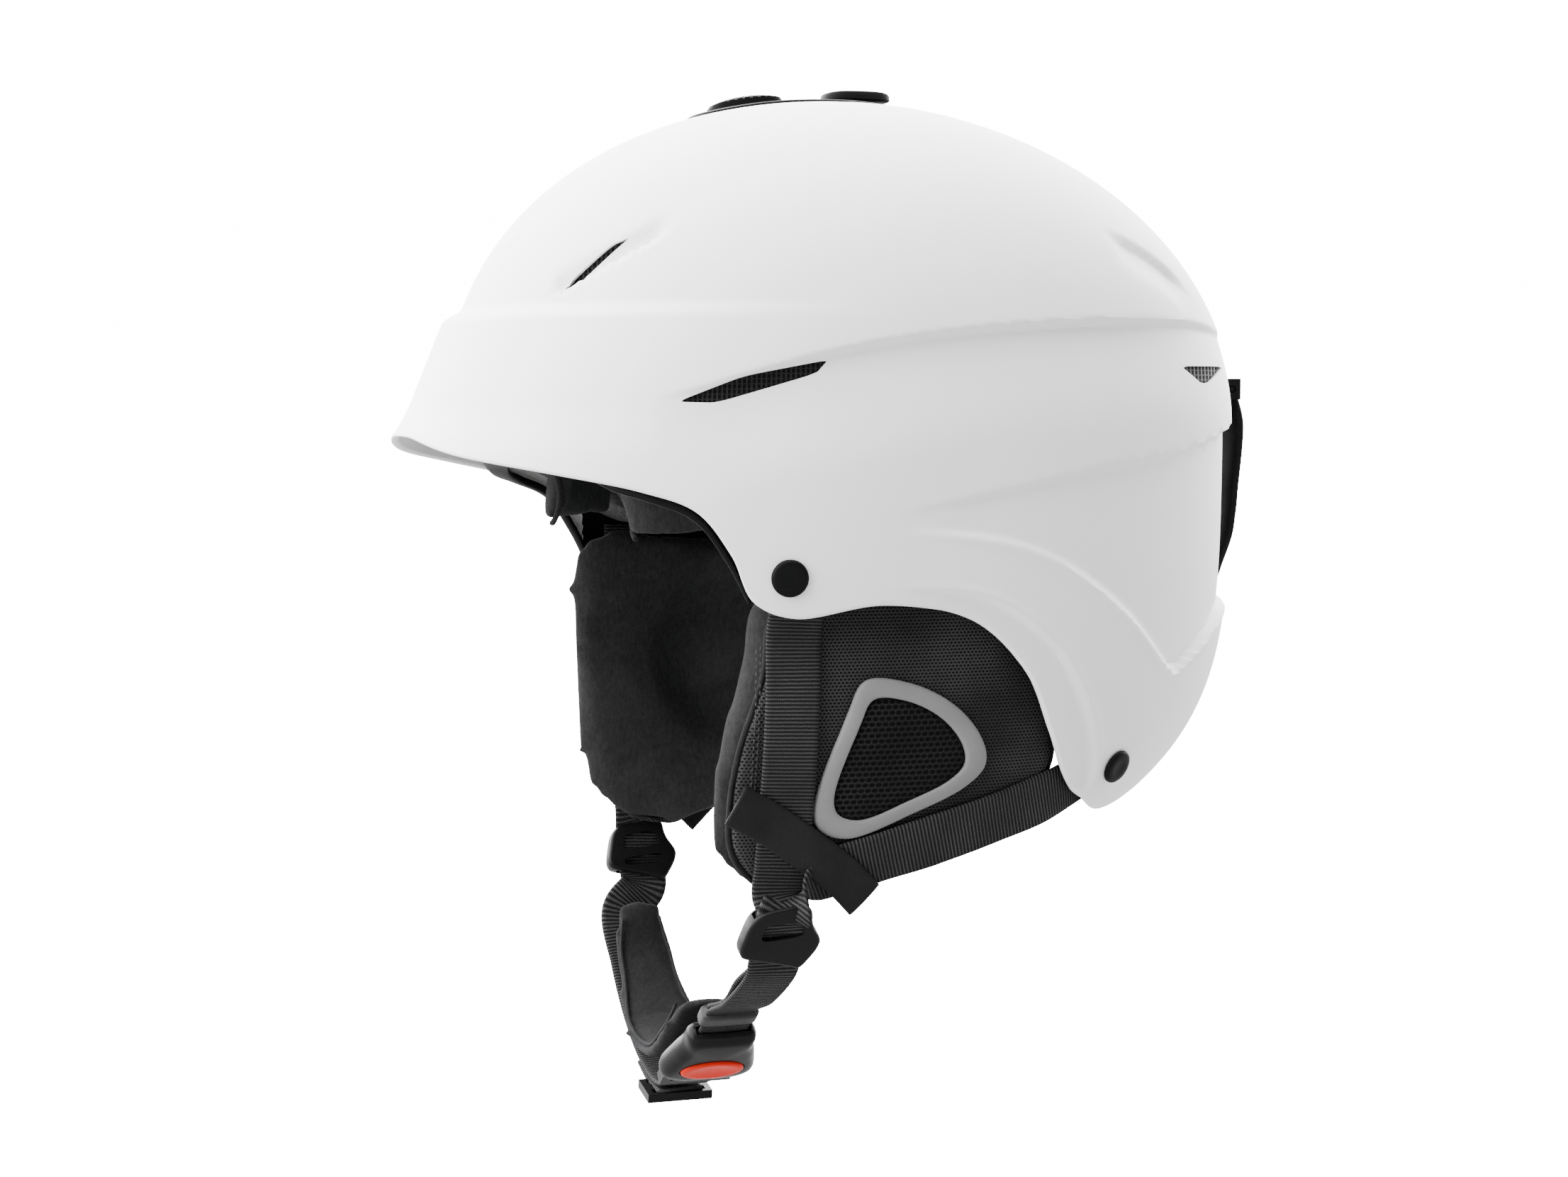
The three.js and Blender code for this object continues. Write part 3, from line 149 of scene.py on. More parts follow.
# Ear pad outlines as [y, z]. The far pad reaches further forward on its lining side.
EAR_OUTLINE = [
    (-51, 40), (-53, 24), (-60, 0), (-62.5, -20), (-61, -36), (-52, -47), (-36, -52), (-14, -45),
    (14, -36), (39, -26), (51, -11), (48.5, 8), (38, 27), (24, 42), (6, 50), (-20, 50), (-42, 48),
]
EAR_LINING_OUTLINE = [
    (-68.5, 46), (-69.5, 24), (-68.5, 0), (-67, -20), (-64, -36), (-53, -47), *EAR_OUTLINE[6:14],
    (6, 51), (-22, 55), (-61, 56.5),
]
RING_OUTLINE = [
    (-19, 19), (-5, 18), (10, 10.5), (19, 0), (20.5, -8), (15, -14), (-2, -22), (-22, -29),
    (-31, -26), (-33, -19), (-24, 10),
]
EAR_INNER_X = 72.0
EAR_FACE_X = 93.5
PLUSH_OUTER_DROP = 3.4
COVER_CLEARANCE = 4.8
# Centre, half sizes and depth of the hollow for the ear.
HOLLOW_CENTRE = (-8.0, 12.0)
HOLLOW_HALF = (30.0, 33.0)
HOLLOW_DEPTH = 8.0

WEBBING_WIDTH = 17.0
STRAP_WIDTH = WEBBING_WIDTH - 0.5
WEBBING_THICKNESS = 1.6
RIB_PITCH = 1.15
FRONT_RIVET = (-45.5, 50.5)
REAR_RIVET = (68.0, -11.5)
STRAP_LIFT = 1.7

BUCKLE_CENTRE = np.array([22.0, -45.0, -106.0])
BUCKLE_TILT = 0.657
BUCKLE_HALF = 15.0
BUCKLE_TOP = 5.0
BUTTON_HALF = (5.5, 10.5)
BUTTON_AT = 4.5
# The chin strap's and the sleeve's routes as [x, z], and the sleeve's widths along it.
CHIN_ROUTE = [(-12, -124.4), (-30, -120.5), (-48, -109.5), (-63, -94), (-73, -78)]
CHIN_Y = -46.0
SLEEVE_ROUTE = [
    (-67, -72), (-60, -88), (-47, -102), (-31, -112), (-13, -114), (3, -105), (16, -93.5), (21, -89),
]
SLEEVE_WIDTHS = [(0, 18), (0.2, 24), (0.42, 30), (0.62, 27), (0.85, 24), (1, 16)]


# ------------------------------------------------------------------ small maths
def smooth(value, low, high):
    t = np.clip((np.asarray(value, float) - low) / (high - low), 0, 1)
    return t * t * (3 - 2 * t)


def swell(value, start, full, fade, end):
    """Rises smoothly from 0 to 1 and falls again."""
    return smooth(value, start, full) * (1 - smooth(value, fade, end))


def bell(value, width):
    return np.exp(-((value / width) ** 2))


def signed_power(value, power):
    return np.sign(value) * np.abs(value) ** power


def unit(vector):
    vector = np.asarray(vector, float)
    return vector / np.linalg.norm(vector, axis=-1, keepdims=True)


def full_turn(count):
    """Angles of count equal steps all the way round."""
    return np.linspace(0, 2 * math.pi, count + 1)[:-1]


def rectangle(left, right, low, high):
    return [(left, low), (right, low), (right, high), (left, high)]


def rounded(outline, share=0.2, turns=2):
    """An outline with its corners cut, each cut a share of its side."""
    points = np.asarray(outline, float)
    for _ in range(turns):
        run = np.roll(points, -1, 0) - points
        points = np.stack([points + share * run, points + run - share * run], 1).reshape(-1, 2)
    return points


class Curve:
    """A centripetal Catmull-Rom curve through points of any dimension."""

    def __init__(self, points, closed=False):
        self.points = np.asarray(points, float)
        self.closed = closed
        dense = self.at(np.linspace(0, 1, 60 * len(self.points) + 1))
        steps = np.linalg.norm(np.diff(dense, axis=0), axis=1)
        self.reach = np.concatenate([[0], np.cumsum(steps)])
        self.length = self.reach[-1]

    def at(self, t):
        p = self.points
        if self.closed:
            spans = len(p)
            ring = np.concatenate([p[-1:], p, p[:2]])
        else:
            spans = len(p) - 1
            ring = np.concatenate([2 * p[:1] - p[1:2], p, 2 * p[-1:] - p[-2:-1]])
        along = np.clip(np.asarray(t, float) * spans, 0, spans)
        index = np.minimum(along.astype(int), spans - 1)
        w = (along - index)[:, None]
        a, b, c, d = (ring[index + k] for k in range(4))
        before, span, after = (
            np.maximum(((end - start) ** 2).sum(1, keepdims=True) ** 0.25, 1e-4)
            for start, end in ((a, b), (b, c), (c, d)))
        leave = ((b - a) / before - (c - a) / (before + span) + (c - b) / span) * span
        arrive = ((c - b) / span - (d - b) / (span + after) + (d - c) / after) * span
        bend = -3 * b + 3 * c - 2 * leave - arrive
        return b + leave * w + bend * w**2 + (2 * b - 2 * c + leave + arrive) * w**3

    def even(self, count):
        """Places of count equal steps along the curve."""
        steps = np.linspace(0, self.length, count + 1)
        return np.interp(steps, self.reach, np.linspace(0, 1, len(self.reach)))

    def spaced(self, count):
        """count + 1 points at equal distances, or count points of a closed curve."""
        t = self.even(count)
        return self.at(t[:-1] if self.closed else t)


def edge_curve(line, count):
    """Evenly spaced [angle, height] points of an edge or a relief line."""
    return Curve([(d * DEGREE_LENGTH, z) for d, z in line]).spaced(count) / np.array([DEGREE_LENGTH, 1])


def stops(table, t):
    """Reads a table of (place, value), easing between neighbours."""
    at, value = np.array(table, float).T
    t = np.asarray(t, float)
    i = np.clip(np.searchsorted(at, t) - 1, 0, len(at) - 2)
    return value[i] + (value[i + 1] - value[i]) * smooth((t - at[i]) / (at[i + 1] - at[i]), 0, 1)


# ------------------------------------------------------------------ the dome
def taper(share, power):
    return np.maximum(1 - np.asarray(share) ** power, 0) ** (1 / power)


def half_sizes(z, inset, brim_share):
    """Half width, front and rear reach. brim_share is 0 for the liner's brow and 1 for the full brim."""
    height = CROWN_Z - BELT_Z - inset
    share = np.clip((z - BELT_Z) / height, 0, 1)
    below = np.maximum(BELT_Z - z, 0)
    side = (HALF_WIDTH - inset) * taper(share, SIDE_POWER) - SIDE_TUCK * below**2
    rear = (REAR_REACH - inset) * taper(share, REAR_POWER) - NAPE_TUCK * (below / 100) ** NAPE_TUCK_POWER
    drop = np.maximum(BRIM_Z - z, 0)
    front_share = np.where(drop > 0, (BRIM_Z - BELT_Z) / height, share)
    front = (FRONT_REACH - inset) * taper(front_share, FRONT_POWER)
    brim = BRIM_SLOPE * drop + BRIM_STEP * smooth(drop, 0, 5) + BRIM_LIP * smooth(-z, -100, -84)
    brow = LINER_BROW_SLOPE * drop
    return side, front + brow + (brim - brow) * brim_share, rear


def dome(angle, z, inset=0.0, brim=True):
    """Points of the dome at angles from the front, towards +X, and heights, inset from its outer face."""
    angle, z, inset = np.broadcast_arrays(np.asarray(angle, float), z, inset)
    across, along = np.sin(angle), np.cos(angle)
    turn = np.abs(np.degrees(np.arctan2(across, along)))
    side, front, rear = half_sizes(z, inset, 1 if brim else smooth(turn, *TEMPLE_TURN))
    recess = 0 if brim else BAND_DEPTH * smooth(turn, *LINER_BAND_TURN) * swell(z, *LINER_BAND)
    reach = np.where(along > 0, front, rear - recess)
    wide = side - recess * across**2
    x = wide * signed_power(across, 2 / SQUARENESS)
    y = -reach * signed_power(along, 2 / SQUARENESS)
    return np.stack([x, y, z + 0 * x], -1)


def wall_x(y, z, inset=0.0):
    side, front, rear = half_sizes(np.asarray(z, float), inset, 1)
    reach = np.where(np.asarray(y) < 0, front, rear)
    return side * (1 - np.abs(y / reach) ** SQUARENESS) ** (1 / SQUARENESS)


def dome_height(x, y, inset=0.0):
    """Height of the dome over points, found by halving."""
    x, y = np.broadcast_arrays(np.asarray(x, float), y)
    low = np.full(x.shape, BELT_Z)
    high = np.full(x.shape, CROWN_Z - inset)
    for _ in range(36):
        z = (low + high) / 2
        side, front, rear = half_sizes(z, inset, 0)
        reach = np.maximum(np.where(y < 0, front, rear), 1e-6)
        out = np.abs(x / np.maximum(side, 1e-6)) ** SQUARENESS + np.abs(y / reach) ** SQUARENESS > 1
        low, high = np.where(out, low, z), np.where(out, z, high)
    return low


def line_distance(line, degrees, z, count=90):
    """Distance below a relief line in millimetres, and the place along it from 0 to 1."""
    curve = edge_curve(line, count) * np.array([DEGREE_LENGTH, 1])
    point = np.stack([degrees * DEGREE_LENGTH, z], -1).reshape(-1, 1, 2)
    start = curve[:-1][None]
    run = curve[1:][None] - start
    share = np.clip(((point - start) * run).sum(-1) / (run**2).sum(-1), 0, 1)
    away = point - (start + share[..., None] * run)
    gap = (away**2).sum(-1)
    best = gap.argmin(1)
    rows = np.arange(len(best))
    cross = run[0, best, 0] * away[rows, best, 1] - run[0, best, 1] * away[rows, best, 0]
    distance = np.where(cross > 0, -1, 1) * np.sqrt(gap[rows, best])
    place_along = (best + share[rows, best]) / count
    return distance.reshape(degrees.shape), place_along.reshape(degrees.shape)


def shell_relief(degrees, z):
    """How far the shell's outer face is pressed in by its creases, scoops and strap band."""
    below, along = line_distance(CAP_LINE, degrees, z)
    depth = CAP_DEPTH * smooth(along, 0.0, 0.12) * (1 - 0.85 * smooth(along, 0.5, 0.95))
    total = depth * swell(below, -1.0, 1.3, 4, 34)

    under_top, _ = line_distance(BAND_TOP, degrees, z)
    under_foot, _ = line_distance(BAND_FOOT, degrees, z)
    depth = BAND_FRONT_DEPTH * smooth(degrees, 84, 96)
    depth = depth + (BAND_DEPTH - BAND_FRONT_DEPTH) * smooth(degrees, 96, 150)
    total = total + depth * smooth(under_top, -0.7, 1.4) * smooth(-under_foot, -1.0, 1.6)
    total = total - BAND_LIP * swell(degrees, 86, 94, 150, 172) * bell(under_foot - 1.4, 1.5)

    inside, along = line_distance(EAR_GROOVE, degrees, z)
    ends = swell(along, 0.0, 0.22, 0.93, 1.0)
    total = total + GROOVE_DEPTH * ends * smooth(inside, -0.7, 1.0) * (1 - 0.55 * smooth(inside, 2, 14))
    total = total - GROOVE_LIP * ends * bell(inside + 1.4, 1.2)

    below, along = line_distance(REAR_SCOOP, degrees, z)
    total = total + REAR_SCOOP_DEPTH * swell(along, 0.0, 0.3, 0.7, 1.0) * swell(below, -0.8, 0.9, 2, 15)
    above, along = line_distance(FRONT_SCOOP, degrees, z)
    return total + FRONT_SCOOP_DEPTH * swell(along, 0.0, 0.12, 0.8, 1.0) * swell(above, -6.0, 0.3, 0.3, 1.6)


# ------------------------------------------------------------------ meshes
def link(name, data):
    obj = bpy.data.objects.new(name, data)
    bpy.context.scene.collection.objects.link(obj)
    return obj


def build(name, points, faces, material, uv=None):
    """A smooth-shaded object from points in millimetres, its faces turned outward."""
    mesh = bpy.data.meshes.new(name)
    mesh.from_pydata((np.asarray(points, float).reshape(-1, 3) * MM).tolist(), [], faces)
    if uv is not None:
        layer = mesh.uv_layers.new(name="run")
        loops = np.zeros(len(mesh.loops), int)
        mesh.loops.foreach_get("vertex_index", loops)
        layer.data.foreach_set("uv", (uv[loops] * MM).ravel())
    mesh.materials.append(material)
    mesh.shade_smooth()
    work = bmesh.new()
    work.from_mesh(mesh)
    bmesh.ops.recalc_face_normals(work, faces=work.faces)
    work.to_mesh(mesh)
    work.free()
    mesh.update()
    return link(name, mesh)


def quads(rows, columns, offset=0, closed=False, looped=False, flip=False):
    """Faces of a grid stored row by row. closed joins its last column to the first, looped its last row."""
    faces = []
    for r in range(rows if looped else rows - 1):
        here, below = offset + r * columns, offset + (r + 1) % rows * columns
        for c in range(columns if closed else columns - 1):
            n = (c + 1) % columns
            face = [here + c, here + n, below + n, below + c]
            faces.append(face[::-1] if flip else face)
    return faces


def loft(name, rings, material, looped=False, uv=None):
    """Skins equal closed rings of points. The ends are closed by fans, or joined to each other."""
    rings = np.asarray(rings, float)
    rows, columns = rings.shape[:2]
    points = rings.reshape(-1, 3)
    faces = quads(rows, columns, closed=True, looped=looped)
    if not looped:
        points = np.concatenate([points, [rings[0].mean(0), rings[-1].mean(0)]])
        first, last = rows * columns, rows * columns + 1
        top = (rows - 1) * columns
        for c in range(columns):
            n = (c + 1) % columns
            faces += [[first, n, c], [last, top + c, top + n]]
        if uv is not None:
            uv = np.concatenate([uv.reshape(-1, 2), uv[[0, -1]].mean(1)])
    return build(name, points, faces, material, uv)


def between(name, outer, inner, material):
    """A closed piece between two equal grids of points."""
    columns, rows = outer.shape[:2]
    count = columns * rows
    index = np.arange(count).reshape(columns, rows)
    rim = np.concatenate([index[:, 0], index[-1, 1:], index[-2::-1, -1], index[0, -2:0:-1]]).tolist()
    faces = quads(columns, rows) + quads(columns, rows, count, flip=True)
    faces += [[a, b, b + count, a + count] for a, b in zip(rim, rim[1:] + rim[:1])]
    return build(name, np.concatenate([outer.reshape(-1, 3), inner.reshape(-1, 3)]), faces, material)


def mirrored(obj, name):
    """A copy of a left piece for the wearer's right."""
    copy = link(name, obj.data.copy())
    copy.data.transform(Matrix.Scale(-1, 4, Vector((1, 0, 0))))
    copy.data.flip_normals()
    return copy


def bake(obj):
    """Applies every modifier."""
    bpy.context.view_layer.update()
    graph = bpy.context.evaluated_depsgraph_get()
    mesh = bpy.data.meshes.new_from_object(obj.evaluated_get(graph), depsgraph=graph)
    obj.modifiers.clear()
    old = obj.data
    obj.data = mesh
    bpy.data.meshes.remove(old)
    return obj


def combine(obj, tools, operation="DIFFERENCE"):
    """Cuts the tools from a closed piece, joins them to it or keeps what they share."""
    for tool in tools:
        change = obj.modifiers.new("combine", "BOOLEAN")
        change.operation = operation
        change.solver = "MANIFOLD"
        change.object = tool
    bake(obj)
    for tool in tools:
        bpy.data.objects.remove(tool)
    if not obj.data.polygons:
        raise RuntimeError(f"{obj.name} is empty after its boolean")
    return obj


def soften(obj, width, angle):
    """Rounds the edges that are sharper than an angle in degrees."""
    change = obj.modifiers.new("edge", "BEVEL")
    change.width = width * MM
    change.segments = 2
    change.limit_method = "ANGLE"
    change.angle_limit = math.radians(angle)
    change.harden_normals = True
    return obj


def sharp_smooth(obj, angle):
    obj.data.set_sharp_from_angle(angle=math.radians(angle))
    return obj


def place(obj, body, slot, *nodes):
    """Puts a finished piece on its body and hides the CAD nodes it stands for. The slot argument is not used.
    """
    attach(obj, body)
    if nodes:
        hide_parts(*nodes)
    return obj


def pair(obj, slot, node=None):
    """Places a left piece and its mirror image on the helmet."""
    base = obj.name
    obj.name = base + "_left"
    other = mirrored(obj, base + "_right")
    for piece, side in ((obj, "left"), (other, "right")):
        place(piece, "helmet", slot, *([f"{node}_{side}"] if node else []))


def frame_of(x, y, z, at):
    matrix = Matrix.Identity(4)
    for column, axis in enumerate((x, y, z)):
        for row in range(3):
            matrix[row][column] = axis[row]
    matrix.translation = Vector(at)
    return matrix


UPRIGHT = Matrix.Identity(4)


def raised(outline, height, matrix=UPRIGHT):
    """A flat outline at a height in a frame of its own."""
    outline = np.asarray(outline, float)
    points = np.column_stack([outline, np.full(len(outline), float(height))])
    return points @ np.array(matrix.to_3x3()).T + np.array(matrix.translation)


def prism(outline, low, high, material, matrix=UPRIGHT):
    return loft("tool", [raised(outline, height, matrix) for height in (low, high)], material)


# ------------------------------------------------------------------ materials
class Nodes:
    """A small builder for one material's node tree."""

    def __init__(self, name):
        self.material = bpy.data.materials.new(name)
        self.material.use_nodes = True
        self.tree = self.material.node_tree
        self.shader = self.tree.nodes["Principled BSDF"]
        self.object = self.tree.nodes.new("ShaderNodeTexCoord").outputs["Object"]

    def new(self, kind, inputs, output=0, **values):
        """Adds a node, fills its inputs and returns one output."""
        node = self.tree.nodes.new(kind)
        for key, value in values.items():
            setattr(node, key, value)
        for socket, source in inputs.items():
            self.join(source, node.inputs[socket])
        return node.outputs[output]

    def join(self, source, target):
        if isinstance(source, bpy.types.NodeSocket):
            self.tree.links.new(source, target)
        else:
            target.default_value = source

    def split(self, vector):
        node = self.tree.nodes.new("ShaderNodeSeparateXYZ")
        self.join(vector, node.inputs[0])
        return node.outputs

    def scaled(self, scale):
        return self.new("ShaderNodeMapping", {"Vector": self.object, "Scale": scale})

    def run(self):
        """The place along and across a ribbon, in metres."""
        return self.new("ShaderNodeUVMap", {}, uv_map="run")

    def noise(self, scale, detail=3, rough=0.55, source=None, warp=0.0):
        return self.new("ShaderNodeTexNoise", {
            "Vector": source or self.object, "Scale": scale, "Detail": detail, "Roughness": rough,
            "Distortion": warp})

    def math(self, operation, a, b=0.0):
        return self.new("ShaderNodeMath", {0: a, 1: b}, operation=operation)

    def ramp(self, value, low, high, out_low=0, out_high=1):
        return self.new("ShaderNodeMapRange", {
            "Value": value, "From Min": low, "From Max": high, "To Min": out_low, "To Max": out_high})

    def mix(self, share, a, b):
        return self.new("ShaderNodeMix", {0: share, 6: a, 7: b}, 2, data_type="RGBA")

    def wave(self, scale, source, warp):
        return self.new("ShaderNodeTexWave", {"Vector": source, "Scale": scale, "Distortion": warp}, "Fac",
                        wave_type="BANDS", bands_direction="DIAGONAL", wave_profile="SIN")

    def cells(self, scale, feature="F1"):
        inputs = {"Vector": self.object, "Scale": scale}
        return self.new("ShaderNodeTexVoronoi", inputs, "Distance", feature=feature)

    def ripple(self, value, wobble=0.0):
        """A sine of an angle, from 0 to 1."""
        sine = self.math("SINE", self.math("ADD", value, wobble))
        return self.math("ADD", self.math("MULTIPLY", sine, 0.5), 0.5)

    def blend(self, a, b, share):
        return self.math("ADD", self.math("MULTIPLY", a, 1 - share), self.math("MULTIPLY", b, share))

    def offset(self, value):
        """How far a value is from the middle between whole numbers."""
        return self.math("SUBTRACT", self.math("FRACT", value), 0.5)

    def bump(self, height, strength, distance, under=None):
        inputs = {"Height": height, "Strength": strength, "Distance": distance * MM}
        if under is not None:
            inputs["Normal"] = under
        return self.new("ShaderNodeBump", inputs)

    def finish(self, **sockets):
        for name, value in sockets.items():
            self.join(value, self.shader.inputs[name.replace("_", " ")])
        return self.material


def grey(value):
    return (value, value, value * 1.02, 1)


def plastic(name, tone, rough, grain, size, coat=0.0, shine=0.05):
    """Moulded plastic in one colour, with a fine grain and slightly uneven gloss."""
    n = Nodes(name)
    tone = grey(tone) if isinstance(tone, float) else tone
    low = tuple(c * 0.86 for c in tone[:3]) + (1,)
    high = tuple(min(c * 1.14, 1) for c in tone[:3]) + (1,)
    return n.finish(
        Base_Color=n.mix(n.ramp(n.noise(28, 4), 0.3, 0.7), low, high),
        Roughness=n.ramp(n.noise(60, 5), 0.3, 0.7, rough - 0.06, rough + 0.07),
        Normal=n.bump(n.noise(size, 2, 0.6), grain, 0.05),
        Specular_IOR_Level=shine,
        Coat_Weight=coat,
        Coat_Roughness=0.12,
    )


def shell_paint():
    n = Nodes("satin_white_shell")
    tone = n.mix(n.ramp(n.noise(9), 0.3, 0.7), (0.80, 0.80, 0.795, 1), (0.835, 0.835, 0.83, 1))
    peel = n.bump(n.noise(420, 2, 0.5), 0.05, 0.1)
    return n.finish(
        Base_Color=n.mix(n.ramp(n.cells(900), 0.0, 0.12, 0.06, 0), tone, (0.7, 0.7, 0.7, 1)),
        Roughness=n.ramp(n.noise(70, 4), 0.3, 0.7, 0.42, 0.5),
        Specular_IOR_Level=0.35,
        Normal=n.bump(n.noise(2600, 2, 0.6), 0.06, 0.03, peel),
    )


def foam():
    n = Nodes("beaded_foam")
    seams = n.cells(330, "DISTANCE_TO_EDGE")
    beads = n.mix(n.noise(40), grey(0.018), grey(0.03))
    return n.finish(
        Base_Color=n.mix(n.ramp(seams, 0.0, 0.09), grey(0.012), beads),
        Roughness=n.ramp(n.cells(330), 0, 0.6, 0.55, 0.75),
        Normal=n.bump(n.ramp(seams, 0, 0.25), 0.35, 0.5),
    )


def plush(name, base, light):
    n = Nodes(name)
    patch = n.noise(34, 4, 0.6, warp=0.6)
    pile = n.noise(900, 4, 0.75, source=n.scaled((1, 1, 0.45)))
    fuzz = n.noise(2600, 3, 0.8)
    return n.finish(
        Base_Color=n.mix(n.ramp(n.blend(patch, pile, 0.45), 0.36, 0.64), grey(base), grey(light)),
        Roughness=n.ramp(fuzz, 0.3, 0.7, 0.86, 0.98),
        Specular_IOR_Level=0.03,
        Sheen_Weight=0.04,
        Sheen_Roughness=0.45,
        Sheen_Tint=(0.8, 0.82, 0.85, 1),
        Normal=n.bump(fuzz, 0.5, 0.25, n.bump(pile, 0.5, 0.5)),
    )


def knit(name, pitch, base, light, depth=0.35, holes=0.45):
    """Open knitted mesh: rows of small round holes, every other row half a step on."""
    n = Nodes(name)
    step = pitch * MM
    _, along, up = n.split(n.scaled((0, 1 / step, 1 / (step * 0.8))))
    odd = n.math("MODULO", n.math("ABSOLUTE", n.math("FLOOR", up)), 2.0)
    u = n.offset(n.math("ADD", along, n.math("MULTIPLY", odd, 0.5)))
    v = n.offset(up)
    tall = n.math("MULTIPLY", n.math("MULTIPLY", v, v), 1.35)
    radius = n.math("SQRT", n.math("ADD", n.math("MULTIPLY", u, u), tall))
    yarn = n.ramp(radius, holes * 0.5, holes * 0.95)
    twist = n.wave(0.6 / step, n.object, 1.2)
    cloud = n.ramp(n.noise(26), 0.35, 0.65, 0.35, 1.0)
    return n.finish(
        Base_Color=n.mix(n.math("MULTIPLY", cloud, yarn), grey(base), grey(light)),
        Roughness=n.ramp(yarn, 0, 1, 0.95, 0.62),
        Specular_IOR_Level=0.05,
        Sheen_Weight=0.02,
        Normal=n.bump(n.math("ADD", yarn, n.math("MULTIPLY", twist, 0.25)), 0.8, depth),
    )


def ribbed():
    """Woven webbing: ribs across its run, with fine warp threads along it, and painted shade in the troughs
    between the ribs.
    """
    n = Nodes("ribbed_webbing")
    along, across, _ = n.split(n.run())
    wobble = n.math("MULTIPLY", n.noise(500, 2), 1.1)
    rib = n.ripple(n.math("MULTIPLY", along, 2 * math.pi / (RIB_PITCH * MM)), wobble)
    warp = n.ripple(n.math("MULTIPLY", across, 2 * math.pi / (0.62 * MM)))
    # Painted shade: the rib crests are coloured lighter and the troughs darker, with a random noise mottle
    # over it.
    rib_shade_and_mottle = n.math("MULTIPLY", n.math("POWER", rib, 1.6), n.ramp(n.noise(60), 0.3, 0.7, 0.55, 1))
    return n.finish(
        Base_Color=n.mix(rib_shade_and_mottle, grey(0.006), grey(0.05)),
        Roughness=n.ramp(rib, 0, 1, 0.85, 0.55),
        Specular_IOR_Level=0.08,
        Normal=n.bump(n.blend(rib, warp, 0.2), 0.75, 0.45),
    )


def tape():
    n = Nodes("smooth_tape")
    weave = n.wave(1200, n.run(), 0.4)
    return n.finish(
        Base_Color=n.mix(n.ramp(n.noise(45), 0.3, 0.7), grey(0.006), grey(0.012)),
        Roughness=n.ramp(weave, 0, 1, 0.5, 0.62),
        Specular_IOR_Level=0.08,
        Normal=n.bump(weave, 0.3, 0.12),
    )


def grid_mesh():
    """Moulded vent grid: upright bars with small square windows between."""
    n = Nodes("vent_grid")
    x, y, z = n.split(n.scaled((1 / (1.5 * MM),) * 3))
    sideways = n.math("MULTIPLY", n.math("ABSOLUTE", x), 0.35)
    u = n.math("ABSOLUTE", n.offset(n.math("ADD", y, sideways)))
    v = n.math("ABSOLUTE", n.offset(z))
    bar = n.math("MAXIMUM", n.ramp(u, 0.24, 0.36), n.ramp(v, 0.3, 0.42, 0, 0.7))
    return n.finish(
        Base_Color=n.mix(bar, grey(0.002), n.mix(n.noise(90), grey(0.01), grey(0.018))),
        Roughness=n.ramp(bar, 0, 1, 0.9, 0.5),
        Specular_IOR_Level=0.1,
        Normal=n.bump(bar, 0.9, 0.5),
    )


SHELL = shell_paint()
FOAM = foam()
PLUSH = plush("brushed_plush", 0.01, 0.026)
LINING = plush("pad_lining", 0.01, 0.022)
EAR_KNIT = knit("spacer_knit", 1.25, 0.003, 0.036)
RING_KNIT = knit("coarse_knit", 2.1, 0.002, 0.02, depth=0.6, holes=0.62)
WEBBING = ribbed()
TAPE = tape()
GRID = grid_mesh()
BLACK = plastic("moulded_black", 0.006, 0.5, 0.35, 1500)
TRIM_BLACK = plastic("edge_black", 0.004, 0.42, 0.12, 900)
GLOSS = plastic("gloss_black", 0.006, 0.27, 0.08, 700, coat=0.01, shine=0.08)
RING_GREY = plastic("ring_grey", 0.17, 0.55, 0.4, 1700, shine=0.1)
BUTTON = plastic("button_orange", (0.55, 0.012, 0.001), 0.38, 0.15, 1100, coat=0.05, shine=0.1)
THREAD = plastic("stitch_thread", 0.035, 0.7, 0.5, 3000)
KEEPER = plastic("elastic_keeper", 0.02, 0.55, 0.5, 1900, shine=0.3)


# ------------------------------------------------------------------ shell
SHELL_COLUMNS = 300
SHELL_ROWS = (74, 46, 64)
MIDDLE_Z = 133.0
EDGE_ROUND = SHELL_THICKNESS / 2
VENT_REACH = 40.0
CROWN_HOLE = ((-46, 29), 15)
CROWN_HOLE_CUT = (186, 205)


def edge_columns(outline, count):
    """Angles and heights of evenly spaced columns along an edge, all the way round."""
    half = edge_curve(outline, count)
    both = np.concatenate([half, half[1:-1][::-1] * np.array([-1, 1])])
    return np.radians(both[:, 0]), both[:, 1]


def outer_rows(low):
    """Heights of each meridian from just above the lower edge to just below the crown."""
    below, middle, above = SHELL_ROWS
    lower = low[:, None] + (BELT_Z - low)[:, None] * np.linspace(0, 1, below)[None] ** 1.05
    start = math.asin((MIDDLE_Z - BELT_Z) / (CROWN_Z - BELT_Z))
    upper = BELT_Z + (CROWN_Z - BELT_Z) * np.sin(np.linspace(start, math.pi / 2, above)[1:-1])
    rest = np.concatenate([np.linspace(BELT_Z, MIDDLE_Z, middle)[1:], upper])
    return np.concatenate([lower, np.broadcast_to(rest, (len(low), len(rest)))], 1)


def bowl(name, outer, rim, inner, material):
    """A thick dome: outer columns down, round the rim and up the inner columns."""
    return loft(name, [*outer[:, ::-1].swapaxes(0, 1), *rim, *inner.swapaxes(0, 1)], material)


